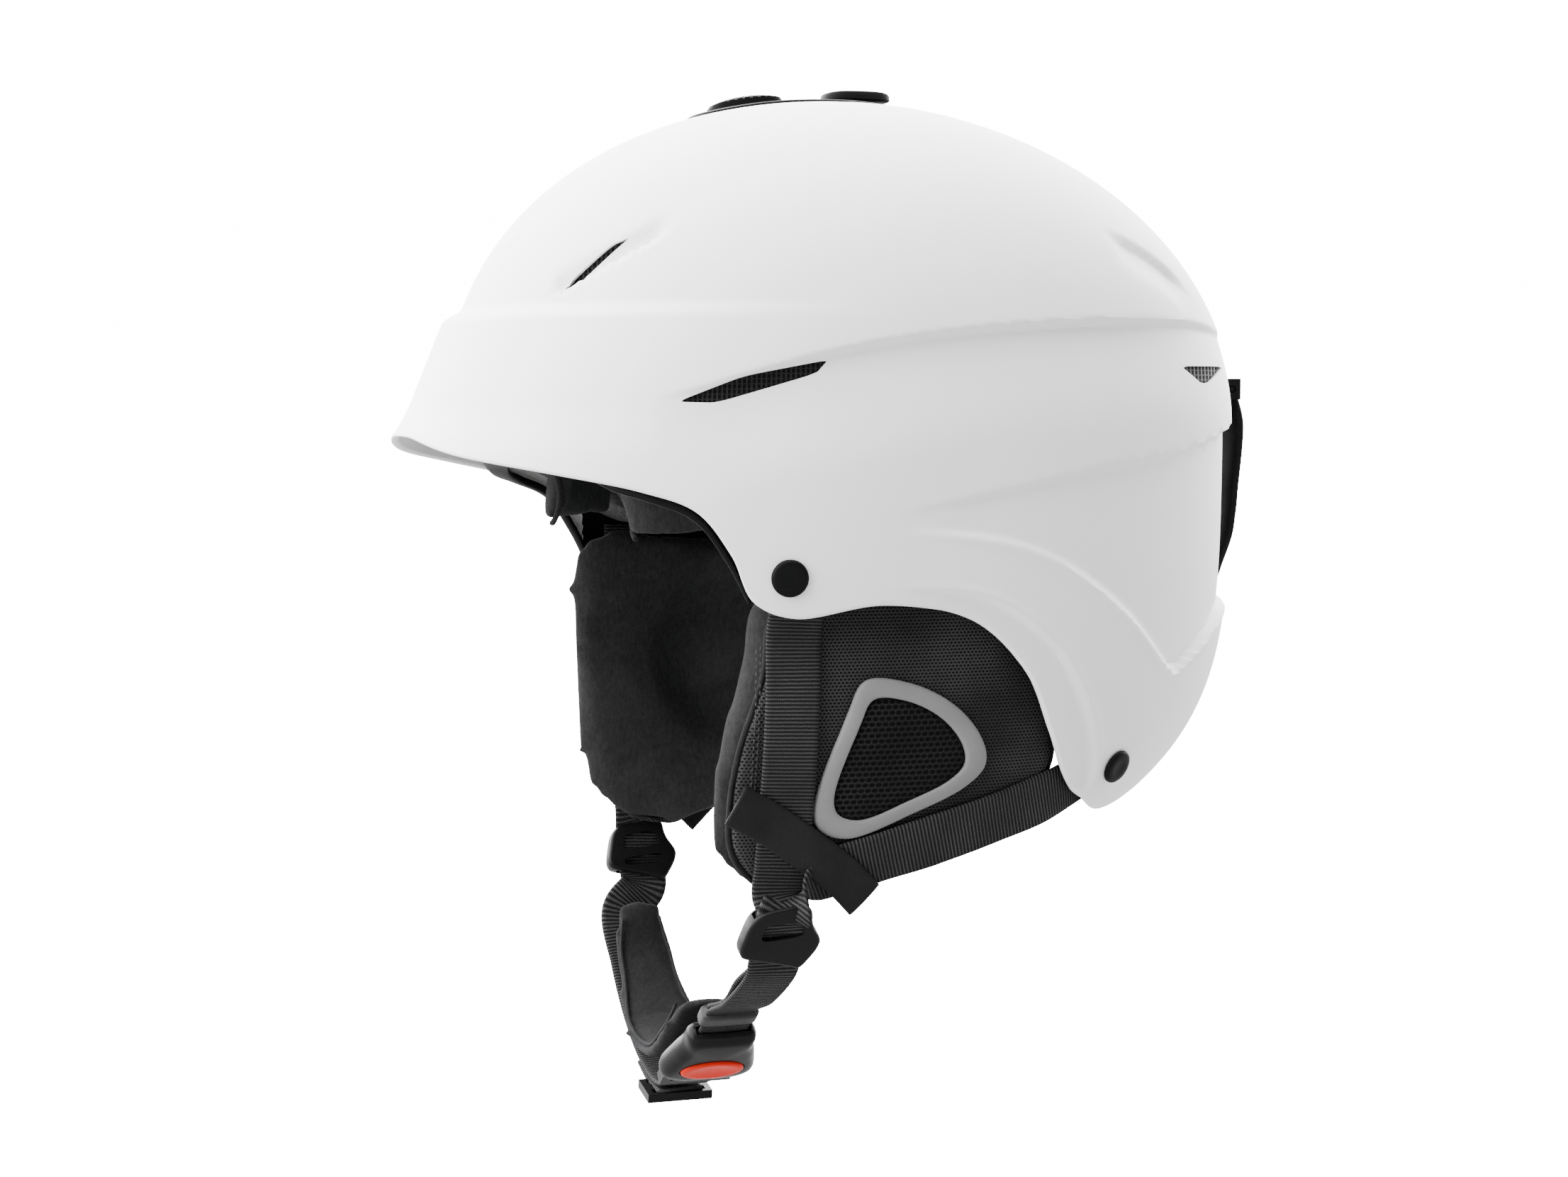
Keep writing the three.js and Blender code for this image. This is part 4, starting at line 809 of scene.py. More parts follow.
def shell():
    angle, low = edge_columns(SHELL_EDGE, SHELL_COLUMNS)
    z = outer_rows(low + EDGE_ROUND)
    turn = np.broadcast_to(np.abs(np.degrees(angle))[:, None], z.shape)
    relief = shell_relief(turn, z)
    # Heights are on the outer face; the inner face uses the same share of its own height.
    share = np.clip((z - BELT_Z) / (CROWN_Z - BELT_Z), 0, None)

    def layer(inset):
        total = inset + relief
        height = np.where(share > 0, BELT_Z + share * (CROWN_Z - BELT_Z - total), z)
        return dome(angle[:, None], height, total)

    rim = []
    for part in np.linspace(0, math.pi, 9)[1:-1]:
        inset = EDGE_ROUND * (1 - math.cos(part))
        drop = EDGE_ROUND * math.sin(part)
        rim.append(dome(angle, low + EDGE_ROUND - drop, inset + relief[:, 0]))
    return bowl("shell", layer(0.0), rim, layer(SHELL_THICKNESS), SHELL)


def vent_frames():
    """The side, rear and front vents of the left: name, cutting frame and outline."""
    side = frame_of((0, 1, 0), (0, 0, 1), (1, 0, 0), (78, 0, 0))
    rear = frame_of((-0.69, 0.72, 0), (0, 0, 1), (0.72, 0.69, 0), (52, 85.8, 0))
    front = frame_of((0.5, 0.64, 0.58), (-0.46, -0.37, 0.81), (0.73, -0.67, 0.11), (34, -69, 138))
    return [("side", side, SIDE_VENT), ("rear", rear, REAR_VENT), ("front", front, FRONT_VENT)]


def vent_tools(material):
    tools = []
    for _, matrix, outline in vent_frames():
        tool = prism(rounded(outline, 0.1), 0, VENT_REACH, material, matrix)
        tools += [tool, mirrored(tool, "tool")]
    return tools


def oval(scale, y_range, half_width, count=72):
    t = full_turn(count)
    middle, half = (y_range[0] + y_range[1]) / 2, (y_range[1] - y_range[0]) / 2
    x = scale * half_width * signed_power(np.cos(t), 0.7)
    return np.column_stack([x, middle + scale * half * signed_power(np.sin(t), 0.8)])


def make_shell():
    """The shell, white outside and black inside except near the front of its edge."""
    obj = shell()
    combine(obj, [*vent_tools(SHELL), prism(oval(1.0, *CROWN_HOLE), *CROWN_HOLE_CUT, SHELL)])
    obj.data.materials.append(BLACK)
    edge = np.array(SHELL_EDGE, float).T
    for face in obj.data.polygons:
        centre = face.center / MM
        outwards = Vector((centre.x, centre.y, max(centre.z - BELT_Z, 0))).normalized()
        turn = math.degrees(math.atan2(abs(centre.x), -centre.y))
        rim = turn < WHITE_RIM_TURN and centre.z < np.interp(turn, *edge) + WHITE_RIM
        if face.normal.dot(outwards) < -0.5 and not rim:
            face.material_index = 1
    place(sharp_smooth(obj, 40), "helmet", "shell", "outer_shell")


# ------------------------------------------------------------------ liner and pads inside
VENT_POCKET = rectangle(-12.3, 12.3, -45, 23)
VENT_POCKET_CUT = (186.6, 226)
PORT_STARTS = (-36, -16)
PORT_LENGTH = 9
PORT_HALF_WIDTH = 11
PORT_CUT = (150, 230)
# The brow pad's lower edge drops from its middle between these turns.
BROW_MIDDLE_Z = 82
BROW_DROP = 23.6
BROW_DROP_TURNS = (18, 44)
PILLOW_VOXEL = 4.2
PILLOW_CAP = 2.5
CLOTH_FRAMES = 20


def liner():
    angle, _ = edge_columns(SHELL_EDGE, 150)
    turn = np.abs(np.degrees(angle))
    # The rounded edge never drops below straight runs between the edge's points.
    lines = (edge_curve(LINER_EDGE, 400), np.array(LINER_EDGE))
    low = np.maximum(*(np.interp(turn, *line.T) for line in lines))
    lower, upper = np.linspace(-1, 0, 26)[:-1], np.sin(np.linspace(0, math.pi / 2, 44))[:-1]
    share = np.concatenate([lower, upper])[None]

    def layer(inset):
        below = BELT_Z + share * (BELT_Z - low[:, None] - LINER_LIP)
        z = np.where(share < 0, below, BELT_Z + share * (CROWN_Z - BELT_Z - inset))
        return dome(angle[:, None], z, inset, False)

    rim = []
    for part in np.linspace(0, math.pi, 11)[1:-1]:
        inset = LINER_OUTER + (LINER_INNER - LINER_OUTER) * (1 - math.cos(part)) / 2
        rim.append(dome(angle, low + LINER_LIP * (1 - math.sin(part) ** 0.5), inset, False))
    obj = bowl("liner", layer(LINER_OUTER), rim, layer(LINER_INNER), FOAM)
    ports = [rectangle(-PORT_HALF_WIDTH, PORT_HALF_WIDTH, y, y + PORT_LENGTH) for y in PORT_STARTS]
    tools = [prism(VENT_POCKET, *VENT_POCKET_CUT, FOAM)] + [prism(port, *PORT_CUT, FOAM) for port in ports]
    combine(obj, tools + vent_tools(FOAM))
    place(sharp_smooth(obj, 45), "helmet", "foam", "foam_liner")


def liner_trim():
    """Edging under the brow and down the temples, just behind the shell's edge."""
    half = edge_curve(TRIM_LINE, 90)
    turn = full_turn(16)
    rings = []
    for degrees, z in np.concatenate([half[:0:-1] * np.array([-1, 1]), half]):
        depth = TRIM_DEPTH + (TRIM_TEMPLE_DEPTH - TRIM_DEPTH) * smooth(abs(degrees), 40, 60)
        inset = SHELL_THICKNESS + 0.6 + depth / 2 * (1 + signed_power(np.cos(turn), 0.55))
        lift = TRIM_HALF_HEIGHT * signed_power(np.sin(turn), 0.7)
        rings.append(dome(math.radians(degrees), z + lift, inset, False))
    place(loft("liner_trim", rings, TRIM_BLACK), "helmet", "black_plastic", "liner_edge_trim")


def positions(obj):
    points = np.zeros(len(obj.data.vertices) * 3)
    obj.data.vertices.foreach_get("co", points)
    return points.reshape(-1, 3)


def inflate(obj, voxel, cap, pressure=4.0, pin=None):
    """Fills a pad like stuffed fabric: remesh, cloth under inner pressure, then one subdivision.

    No point moves further than cap, and the points that pin names are held.
    """
    remesh = obj.modifiers.new("remesh", "REMESH")
    remesh.mode = "VOXEL"
    remesh.voxel_size = voxel * MM
    bake(obj)
    start = positions(obj)
    change = obj.modifiers.new("cloth", "CLOTH")
    cloth = change.settings
    if pin is not None:
        group = obj.vertex_groups.new(name="hold")
        group.add([i for i, p in enumerate(start / MM) if pin(p)], 1.0, "REPLACE")
        cloth.vertex_group_mass = "hold"
    cloth.quality = 4
    cloth.mass = 0.25
    cloth.tension_stiffness = 12
    cloth.compression_stiffness = 12
    cloth.bending_stiffness = 0.6
    cloth.use_pressure = True
    cloth.uniform_pressure_force = pressure
    cloth.effector_weights.gravity = 0
    change.collision_settings.use_collision = False
    change.point_cache.frame_start = 1
    change.point_cache.frame_end = CLOTH_FRAMES
    scene = bpy.context.scene
    for step in range(1, CLOTH_FRAMES + 1):
        scene.frame_set(step)
    bake(obj)
    scene.frame_set(1)
    move = positions(obj) - start
    far = np.linalg.norm(move, axis=1, keepdims=True)
    limit = cap * MM
    keep = np.where(far > 1e-9, limit * np.tanh(far / limit) / np.maximum(far, 1e-9), 1)
    obj.data.vertices.foreach_set("co", (start + move * keep).ravel())
    finer = obj.modifiers.new("finer", "SUBSURF")
    finer.levels = 1
    bake(obj)
    obj.data.shade_smooth()
    return obj


def pillow(name, angles, low, tall, columns, rows):
    """A filled pad on the liner, between two angles, from a height that may vary with the angle."""
    degrees = np.linspace(*angles, columns)[:, None]
    u = np.linspace(-1, 1, columns)[:, None]
    v = np.linspace(-1, 1, rows)[None]
    bottom = low(degrees)
    z = (bottom + bottom + tall) / 2 + tall / 2 * v * (1 - 0.08 * u**8)
    fullness = (1 - np.abs(u) ** 6) ** 0.5 * (1 - np.abs(v) ** 5) ** 0.5
    faces = [dome(np.radians(degrees), z, PAD_OUTER + PAD_THICKNESS * depth, False)
             for depth in (0.06 + 0.34 * (1 - fullness), 0.5 + 0.62 * fullness)]
    return inflate(between(name, *faces, PLUSH), PILLOW_VOXEL, PILLOW_CAP)


def seam(name, points, radius, closed=True):
    """A thin round welt along points."""
    points = np.asarray(points, float)
    if closed:
        ahead = unit(np.roll(points, -1, 0) - np.roll(points, 1, 0))
    else:
        ahead = unit(np.gradient(points, axis=0))
    side = unit(np.cross(ahead, (0.31, 0.57, 0.76)))
    up = np.cross(ahead, side)
    turn = full_turn(8)[:, None]
    rings = points[:, None] + radius * (np.cos(turn) * side[:, None] + np.sin(turn) * up[:, None])
    return loft(name, rings, LINING, looped=closed)


def brow_low(degrees):
    return BROW_MIDDLE_Z - BROW_DROP * smooth(np.abs(degrees), *BROW_DROP_TURNS)


def inner_pads():
    brow = pillow("brow_padding", (-67, 67), lambda d: brow_low(d) + 1, 32, 90, 22)
    place(brow, "helmet", "plush", "brow_pad")
    turns = np.linspace(-BROW_DROP_TURNS[1], BROW_DROP_TURNS[1], 120)
    piping = dome(np.radians(turns), brow_low(turns) + 1.6, PAD_OUTER + PAD_THICKNESS * 0.62, False)
    place(seam("brow_piping", piping, 1.0, closed=False), "helmet", "plush")
    nape = pillow("nape_padding", (143, 217), lambda d: 27, 40, 70, 26)
    place(nape, "helmet", "plush", "nape_pad")
    side = pillow("side_padding", (85, 125), lambda d: 75, 46, 50, 28)
    pair(side, "plush", "side_pad")
    crown_pad()


# The crown pad's section as (share of its outline, share of its thickness).
CROWN_PAD_SECTION = [
    (0.05, 1), (0.4, 1), (0.75, 1), (0.92, 0.96), (0.98, 0.75), (1.0, 0.5), (0.98, 0.25), (0.9, 0.06),
    (0.7, 0.0), (0.4, 0.0), (0.05, 0.0),
]


def crown_pad():
    rings = []
    inset = PAD_OUTER + 1.3
    for scale, share in CROWN_PAD_SECTION:
        flat = oval(scale, (-45, 47), 41, 56)
        low = dome_height(*flat.T, inset + PAD_THICKNESS - 0.6)
        high = dome_height(*flat.T, inset)
        rings.append(np.column_stack([flat, low + (high - low) * share]))
    pad = inflate(loft("crown_padding", rings, PLUSH), 4.5, PILLOW_CAP)
    ports = [rectangle(-12, 12, y - 1, y + PORT_LENGTH + 1) for y in PORT_STARTS]
    combine(pad, [prism(rounded(port), 140, 190, PLUSH) for port in ports])
    place(sharp_smooth(pad, 50), "helmet", "plush", "crown_pad")


# ------------------------------------------------------------------ ear pads
EAR_LINE = Curve(EAR_OUTLINE, closed=True).spaced(120)
EAR_MIDDLE = Curve(EAR_OUTLINE, closed=True).spaced(24).mean(0)
LINING_LINE = Curve(EAR_LINING_OUTLINE, closed=True).spaced(120)
RING_LINE = Curve(RING_OUTLINE, closed=True).spaced(100)
RING_MIDDLE = Curve(RING_OUTLINE, closed=True).spaced(20).mean(0)

# Shares of the ear pad's outline on its outer and inner face, and where its cloth is held.
OUTER_SHARES = (0.04, 0.2, 0.4, 0.6, 0.75, 0.86)
INNER_SHARES = (0.86, 0.78, 0.7, 0.62, 0.54, 0.46, 0.38, 0.3, 0.2, 0.1, 0.03)
HELD_X = 86.5
HELD_HOLLOW = 0.7

# Sections as (share of the outline, height over the ear panel's face).
PANEL_LEVELS = [(keep, 1 - PLUSH_OUTER_DROP) for keep in (0.05, 0.5, 0.86)]
PANEL_LEVELS += [(0.885, -2.0), (0.89, -1.2), (0.882, -0.55), (0.865, -0.15)]
PANEL_LEVELS += [(keep, 0) for keep in (0.84, 0.8, 0.72, 0.64, 0.56, 0.48, 0.4, 0.3, 0.2, 0.1, 0.04)]
RING_SECTION = [
    (1.0, 0.3), (1.0, 1.5), (0.987, 1.95), (0.96, 2.15), (0.88, 2.25), (0.805, 2.15), (0.778, 1.95),
    (0.765, 1.5), (0.765, 0.3),
]
WINDOW_LEVELS = [(0.03, 0.35), (0.4, 0.35), (0.75, 0.35), (0.75, 0.8), (0.7, 1.1)]
WINDOW_LEVELS += [(keep, 1.1 + 0.5 * (1 - keep)) for keep in (0.55, 0.42, 0.3, 0.18, 0.06)]


def ear_face(y, z):
    """Outer face of the ear panel: a shallow bulge, kept clear of the shell."""
    bulge = EAR_FACE_X - 0.0014 * (y + 12) ** 2 - 0.0011 * (30 - z) ** 2
    return np.minimum(bulge, wall_x(y, z, SHELL_THICKNESS) - COVER_CLEARANCE)


def over_ear(y, z, lift):
    """A point over the ear panel's face."""
    return (float(ear_face(y, z)) + lift, y, z)


def hollow_distance(y, z):
    """Distance from the ear hollow's centre, 1 at its edge."""
    (cy, cz), (half_y, half_z) = HOLLOW_CENTRE, HOLLOW_HALF
    return np.sqrt(((y - cy) / half_y) ** 2 + ((z - cz) / half_z) ** 2)


def ear_pad(name, lining_line):
    """The plush body of one ear pad, shaped on the wearer's left."""
    rings = []

    def ring(toward_lining, keep, share):
        line = EAR_LINE + (lining_line - EAR_LINE) * toward_lining
        middle = line.mean(0)
        y, z = (middle + (line - middle) * keep).T
        away = hollow_distance(y, z)
        outer = ear_face(y, z) - PLUSH_OUTER_DROP - 0.4
        hollow = HOLLOW_DEPTH * (1 - smooth(away, 0.72, 1.06))
        inner = EAR_INNER_X - 0.6 + hollow + 1.6 * smooth(away, 1.5, 2.3)
        rings.append(np.column_stack([share * outer + (1 - share) * inner, y, z]))

    def held(point):
        return point[0] > HELD_X or hollow_distance(*point[1:]) < HELD_HOLLOW

    for keep in OUTER_SHARES:
        ring(0, keep, 1)
    for part in np.linspace(0, math.pi, 10)[1:-1]:
        share = (1 + math.cos(part)) / 2
        ring(float(smooth(1 - share, 0.25, 0.75)), OUTER_SHARES[-1] + 0.125 * math.sin(part) ** 0.8, share)
    for keep in INNER_SHARES:
        ring(1, keep, 0)
    return inflate(loft(name, rings, PLUSH), 4.0, 3.2, pin=held)


def ear_pads():
    left = ear_pad("ear_padding_left", EAR_LINE)
    place(left, "helmet", "plush", "ear_pad_left")
    template = ear_pad("ear_padding_template", LINING_LINE)
    right = mirrored(template, "ear_padding_right")
    bpy.data.objects.remove(template)
    place(right, "helmet", "plush", "ear_pad_right")


def ear_layers(name, levels, line, middle, material, looped=False):
    rings = []
    for keep, lift in levels:
        flat = middle + (line - middle) * keep
        rings.append(np.column_stack([ear_face(*flat.T) + lift, flat]))
    return loft(name, rings, material, looped)


def ear_panels():
    """The knit panel with its welt, the grey ring on it and the ring's open window."""
    pair(ear_layers("ear_panel", PANEL_LEVELS, EAR_LINE, EAR_MIDDLE, EAR_KNIT), "ear_fabric", "ear_cover")
    welt = EAR_MIDDLE + (EAR_LINE - EAR_MIDDLE) * 0.905
    pair(seam("ear_welt", np.column_stack([ear_face(*welt.T) - 2.3, welt]), 0.9), "plush")
    ring = ear_layers("grey_ring", RING_SECTION, RING_LINE, RING_MIDDLE, RING_GREY, looped=True)
    pair(sharp_smooth(ring, 50), "grey_trim", "ear_ring")
    pair(ear_layers("ear_window", WINDOW_LEVELS, RING_LINE, RING_MIDDLE, RING_KNIT), "ear_fabric", "ear_mesh")


# ------------------------------------------------------------------ webbing
SELVEDGE = 0.5
RIVET_PROFILE = [
    (0.2, -4.5), (2, -4.5), (2, 0.2), (5.2, 0.2), (5.5, 0.35), (5.5, 0.85), (5.3, 1.25), (4.9, 1.55),
    (4.2, 1.75), (3.0, 1.8), (2.2, 1.72), (1.2, 1.62), (0.3, 1.6),
]
FRONT_STRAP_Y = -41
FRONT_HEIGHTS = [57, 48, 34, 16, -2, -20, -36, -45.5]
REAR_ROUTE = [(70, -10.5), (60, -14), (44, -19.5), (26, -25), (6, -30.5), (-12, -35.5), (-27, -40)]
LOOP_ROUTE = [(-58, -17), (-48, -22.5), (-36, -31), (-24, -40), (-16, -48)]
# Each column of stitches as (y, step down), and a stitch's shape as (share of its length, radius).
STITCH_COLUMNS = [(-50.4, 0.0), (-51.6, 1.1)]
STITCH_SHAPE = [(0, 0.1), (0.25, 0.26), (0.75, 0.26), (1, 0.1)]
STITCH_LENGTH = 1.3

DIVIDER = np.array([80.5, -41.5, -58.0])
DIVIDER_DOWN = unit((-0.42, -0.02, -0.907))
DIVIDER_WIDE = unit(np.array([0, 1, 0]) - DIVIDER_DOWN * DIVIDER_DOWN[1])
DIVIDER_OUT = np.cross(DIVIDER_DOWN, DIVIDER_WIDE)


def ribbon(
    name, at, wide, width=STRAP_WIDTH, thickness=WEBBING_THICKNESS, material=WEBBING, step=0.7, cup=0.0,
):
    """Flat webbing along points, its width along one direction or one for each point."""
    at = np.asarray(at, float)
    path = Curve(at)
    count = max(int(path.length / step), 12)
    t = path.even(count)
    centre = path.at(t)
    along = unit(np.gradient(centre, axis=0))
    across = Curve(np.broadcast_to(np.asarray(wide, float), at.shape)).at(t)
    across = unit(across - along * (across * along).sum(1, keepdims=True))
    out = np.cross(along, across)
    half, deep = width / 2, thickness / 2
    flat = np.linspace(-1, 1, 13) * (half - SELVEDGE)
    section = np.array([*((v, deep) for v in flat), (half, 0), *((v, -deep) for v in flat[::-1]), (-half, 0)])
    v, lift = section[None, :, :1], section[None, :, 1:]
    rings = centre[:, None] + across[:, None] * v + out[:, None] * (lift + cup * (v / half) ** 2)
    run = np.linspace(0, path.length, count + 1)
    uv = np.stack(np.broadcast_arrays(run[:, None], section[None, :, 0] + half), -1)
    return loft(name, rings, material, uv=uv)


def by_divider(distance, out=0.0, side=1):
    """A point down the strap from the divider's middle and out from it, on the left (1) or right (-1)."""
    return (DIVIDER + DIVIDER_DOWN * distance + DIVIDER_OUT * out) * (side, 1, 1)


def turned(name, profile, at, axis, material, segments=48):
    """A lathed piece: profile is (radius, height) pairs along the axis."""
    axis = unit(axis)
    side = unit(np.cross(axis, [0.1, 0.2, 1]))
    up = np.cross(axis, side)
    turn = full_turn(segments)[:, None]
    rim = np.cos(turn) * side + np.sin(turn) * up
    return loft(name, [np.asarray(at) + axis * height + radius * rim for radius, height in profile], material)


def rivets():
    for label, (y, z) in (("front", FRONT_RIVET), ("rear", REAR_RIVET)):
        dy = (wall_x(y + 1, z) - wall_x(y - 1, z)) / 2
        dz = (wall_x(y, z + 1) - wall_x(y, z - 1)) / 2
        stud = turned(f"{label}_stud", RIVET_PROFILE, (float(wall_x(y, z)), y, z), (1, -dy, -dz), TRIM_BLACK)
        pair(sharp_smooth(stud, 50), "black_plastic", f"{label}_rivet")


def leaning(y, z):
    """The front webbing and the stitches beside it lean forward on their way down."""
    return y - 0.01 * (50 - z)


def ear_straps():
    """The front and rear webbing of an ear pad, and the tape loop over both."""
    at = []
    for z in FRONT_HEIGHTS:
        y = leaning(FRONT_STRAP_Y, z)
        on_shell = (float(wall_x(y, z, SHELL_THICKNESS)) - 1.9, y, z)
        at.append(on_shell if z > 40 else over_ear(y, z, STRAP_LIFT))
    at += [by_divider(d, -0.9) for d in (-9, -3, 3)]
    pair(ribbon("front_webbing", at, (0.12, 1, 0)), "webbing", "front_strap")

    # The rear webbing lies on the pad and turns to pass through the divider.
    at = [over_ear(y, z, STRAP_LIFT - 4.5 * max(0, (y - 44) / 26)) for y, z in REAR_ROUTE]
    wide = [(0.05, 0.3, 1)] * 3 + [(0.18, 0.3, 1)] * 2 + [(0.3, 0.3, 1)] * 2
    over_edge = (float(ear_face(-36, -45)) + STRAP_LIFT + 2.2, -35, -45)
    at += [over_edge, by_divider(-7, 1.0), by_divider(-1, 0.9)]
    wide += [(0.3, 0.6, 0.7), (0.2, 0.9, 0.3), (0.1, 1, 0)]
    pair(ribbon("rear_webbing", at, wide), "webbing", "rear_strap")

    at = [over_ear(y, z, 5) for y, z in LOOP_ROUTE]
    loop = ribbon("loop_tape", at, (0.1, 0.5, 1), 13, 1, TAPE, step=1.0, cup=-0.5)
    pair(loop, "smooth_tape", "pad_loop")


def stitching():
    """Short thread stitches down the panel just in front of the webbing."""
    rings, faces = [], []
    turn = full_turn(6)
    circle = np.column_stack([np.cos(turn), np.sin(turn), 0 * turn])
    for column, shift in STITCH_COLUMNS:
        for z in np.arange(30, -16, -2.2):
            y = leaning(column, z)
            top = np.array(over_ear(y, z - shift, 0.25))
            foot = np.array(over_ear(y, z - shift - STITCH_LENGTH, 0.25))
            first = 6 * len(rings)
            rings += [top + (foot - top) * share + radius * circle for share, radius in STITCH_SHAPE]
            faces += quads(4, 6, first, closed=True)
            faces += [list(range(first + 5, first - 1, -1)), list(range(first + 18, first + 24))]
    pair(build("panel_stitches", rings, faces, THREAD), "webbing")


# ------------------------------------------------------------------ dividers, buckle and chin strap
BUCKLE_OUT = np.array([-math.cos(BUCKLE_TILT), 0, -math.sin(BUCKLE_TILT)])
BUCKLE_FACE = np.array([math.sin(BUCKLE_TILT), 0, -math.cos(BUCKLE_TILT)])
BUCKLE_FRAME = frame_of(BUCKLE_OUT, (0, 1, 0), BUCKLE_FACE, BUCKLE_CENTRE)

DIVIDER_OUTLINE = [
    (-9.5, -8.5), (3.5, -11.8), (8.5, -10.6), (9.4, -4.5), (13, 0.8), (12.2, 4.6), (7.6, 11.6), (4.4, 10.4),
    (-8.4, 7.6), (-11.6, 6.6), (-12.4, 3.4),
]
DIVIDER_HALF = 3.0
DIVIDER_EDGE = 1.3
FRONT_WINDOW = [(-6, -5.2), (5.8, -6.6), (7.0, -1.2), (-6.4, 0.6)]
LOW_WINDOW = [(-6.6, 3.4), (7.2, 1.6), (6.0, 5.4), (-6.2, 6.0)]

# Half of the buckle's outline, its far side mirrored, and its section as (height, inward step).
BUCKLE_SIDE = [
    (-BUCKLE_HALF, 10.4), (-8, 11.6), (-1, 13.6), (BUCKLE_HALF - 4, 15.4), (BUCKLE_HALF - 0.6, 11.4),
]
BUCKLE_SECTION = [
    (-5, 6.5), (-4.75, 4.6), (-4.1, 2.6), (-3, 1.0), (-1.4, 0.2), (0, 0), (1.6, 0.1), (3, 0.6), (4, 1.5),
    (4.7, 2.7), (5, 4.2),
]
# The button's section as (share of its outline, height over the buckle's top).
BUTTON_SECTION = [
    (0.02, -1.6), (0.9, -1.6), (1, -1.4), (1, 0.1), (0.985, 0.5), (0.94, 0.8), (0.86, 0.92), (0.7, 0.8),
    (0.5, 0.62), (0.25, 0.5), (0.03, 0.48),
]
TONGUE_REACH = 27.5
TAIL_SHIFT = np.array([-2.3, 0.6, 0.9])
# The adjuster's loose tail as [share of its spread, x, z], and the right strap's tongue end in metres.
ADJUSTER_ROUTE = [(-0.4, -9, -124.6), (0.2, -21, -123.6), (0.8, -33, -119.5)]


def at_buckle(along, across, up):
    parts = zip((along, across, up), (BUCKLE_OUT, (0, 1, 0), BUCKLE_FACE))
    return BUCKLE_CENTRE + sum(np.multiply.outer(amount, axis) for amount, axis in parts)


def divider():
    """The strap divider, a plate with rounded edges, a sleeve for the webbing and two windows."""
    matrix = frame_of(DIVIDER_WIDE, DIVIDER_DOWN, -DIVIDER_OUT, DIVIDER)
    line = Curve(rounded(DIVIDER_OUTLINE), closed=True).spaced(90)
    ahead = unit(np.roll(line, -1, 0) - np.roll(line, 1, 0))
    inward = np.column_stack([-ahead[:, 1], ahead[:, 0]])
    rings = []
    for side, turns in ((-1, np.linspace(math.pi / 2, 0, 5)), (1, np.linspace(0, math.pi / 2, 5))):
        for turn in turns:
            height = side * (DIVIDER_HALF - DIVIDER_EDGE * (1 - math.sin(turn)))
            rings.append(raised(line + inward * DIVIDER_EDGE * (1 - math.cos(turn)), height, matrix))
    body = loft("divider", rings, GLOSS)
    combine(body, [
        prism(rectangle(-9.2, 9.2, -20, 20), -1.5, 1.5, GLOSS, matrix),
        prism(rounded(FRONT_WINDOW, 0.15), -10, 10, GLOSS, matrix),
        prism(rounded(LOW_WINDOW, 0.15), 0, 10, GLOSS, matrix),
    ])
    pair(bake(soften(body, 0.35, 42)), "buckle_plastic", "strap_divider")


def button_oval(size, clearance=0.0):
    t = full_turn(64)
    x, y = (half * size + clearance for half in BUTTON_HALF)
    return np.column_stack([BUTTON_AT + x * np.cos(t), y * np.sin(t)])


def buckle():
    far_side = [(x, -y) for x, y in BUCKLE_SIDE[::-1]]
    outline = [far_side[-1], (-BUCKLE_HALF - 0.4, 0), *BUCKLE_SIDE, (BUCKLE_HALF + 0.2, 0), *far_side[:-1]]
    outline = Curve(outline, closed=True).spaced(110)
    reach = np.abs(outline).max(0)
    rings = [raised(outline * (1 - step / reach), up, BUCKLE_FRAME) for up, step in BUCKLE_SECTION]
    body = loft("buckle_body", rings, GLOSS)
    socket = rectangle(BUCKLE_HALF - 16, BUCKLE_HALF + 5, -8.7, 8.7)
    mouth = rectangle(-BUCKLE_HALF - 10, -BUCKLE_HALF + 6, -9, 9)
    combine(body, [
        prism(button_oval(1, 0.4), BUCKLE_TOP - 4.2, BUCKLE_TOP + 10, GLOSS, BUCKLE_FRAME),
        prism(socket, -4.0, -0.8, GLOSS, BUCKLE_FRAME),
        prism(mouth, -1.4, 1.4, GLOSS, BUCKLE_FRAME),
    ])
    place(sharp_smooth(body, 40), "helmet", "buckle_plastic", "buckle_housing")
    rings = [raised(button_oval(keep), BUCKLE_TOP + up, BUCKLE_FRAME) for keep, up in BUTTON_SECTION]
    place(loft("release_button", rings, BUTTON), "buckle_button", "button", "buckle_button")


def chin_point(x, z):
    return np.array([x, CHIN_Y + 0.04 * x, z])


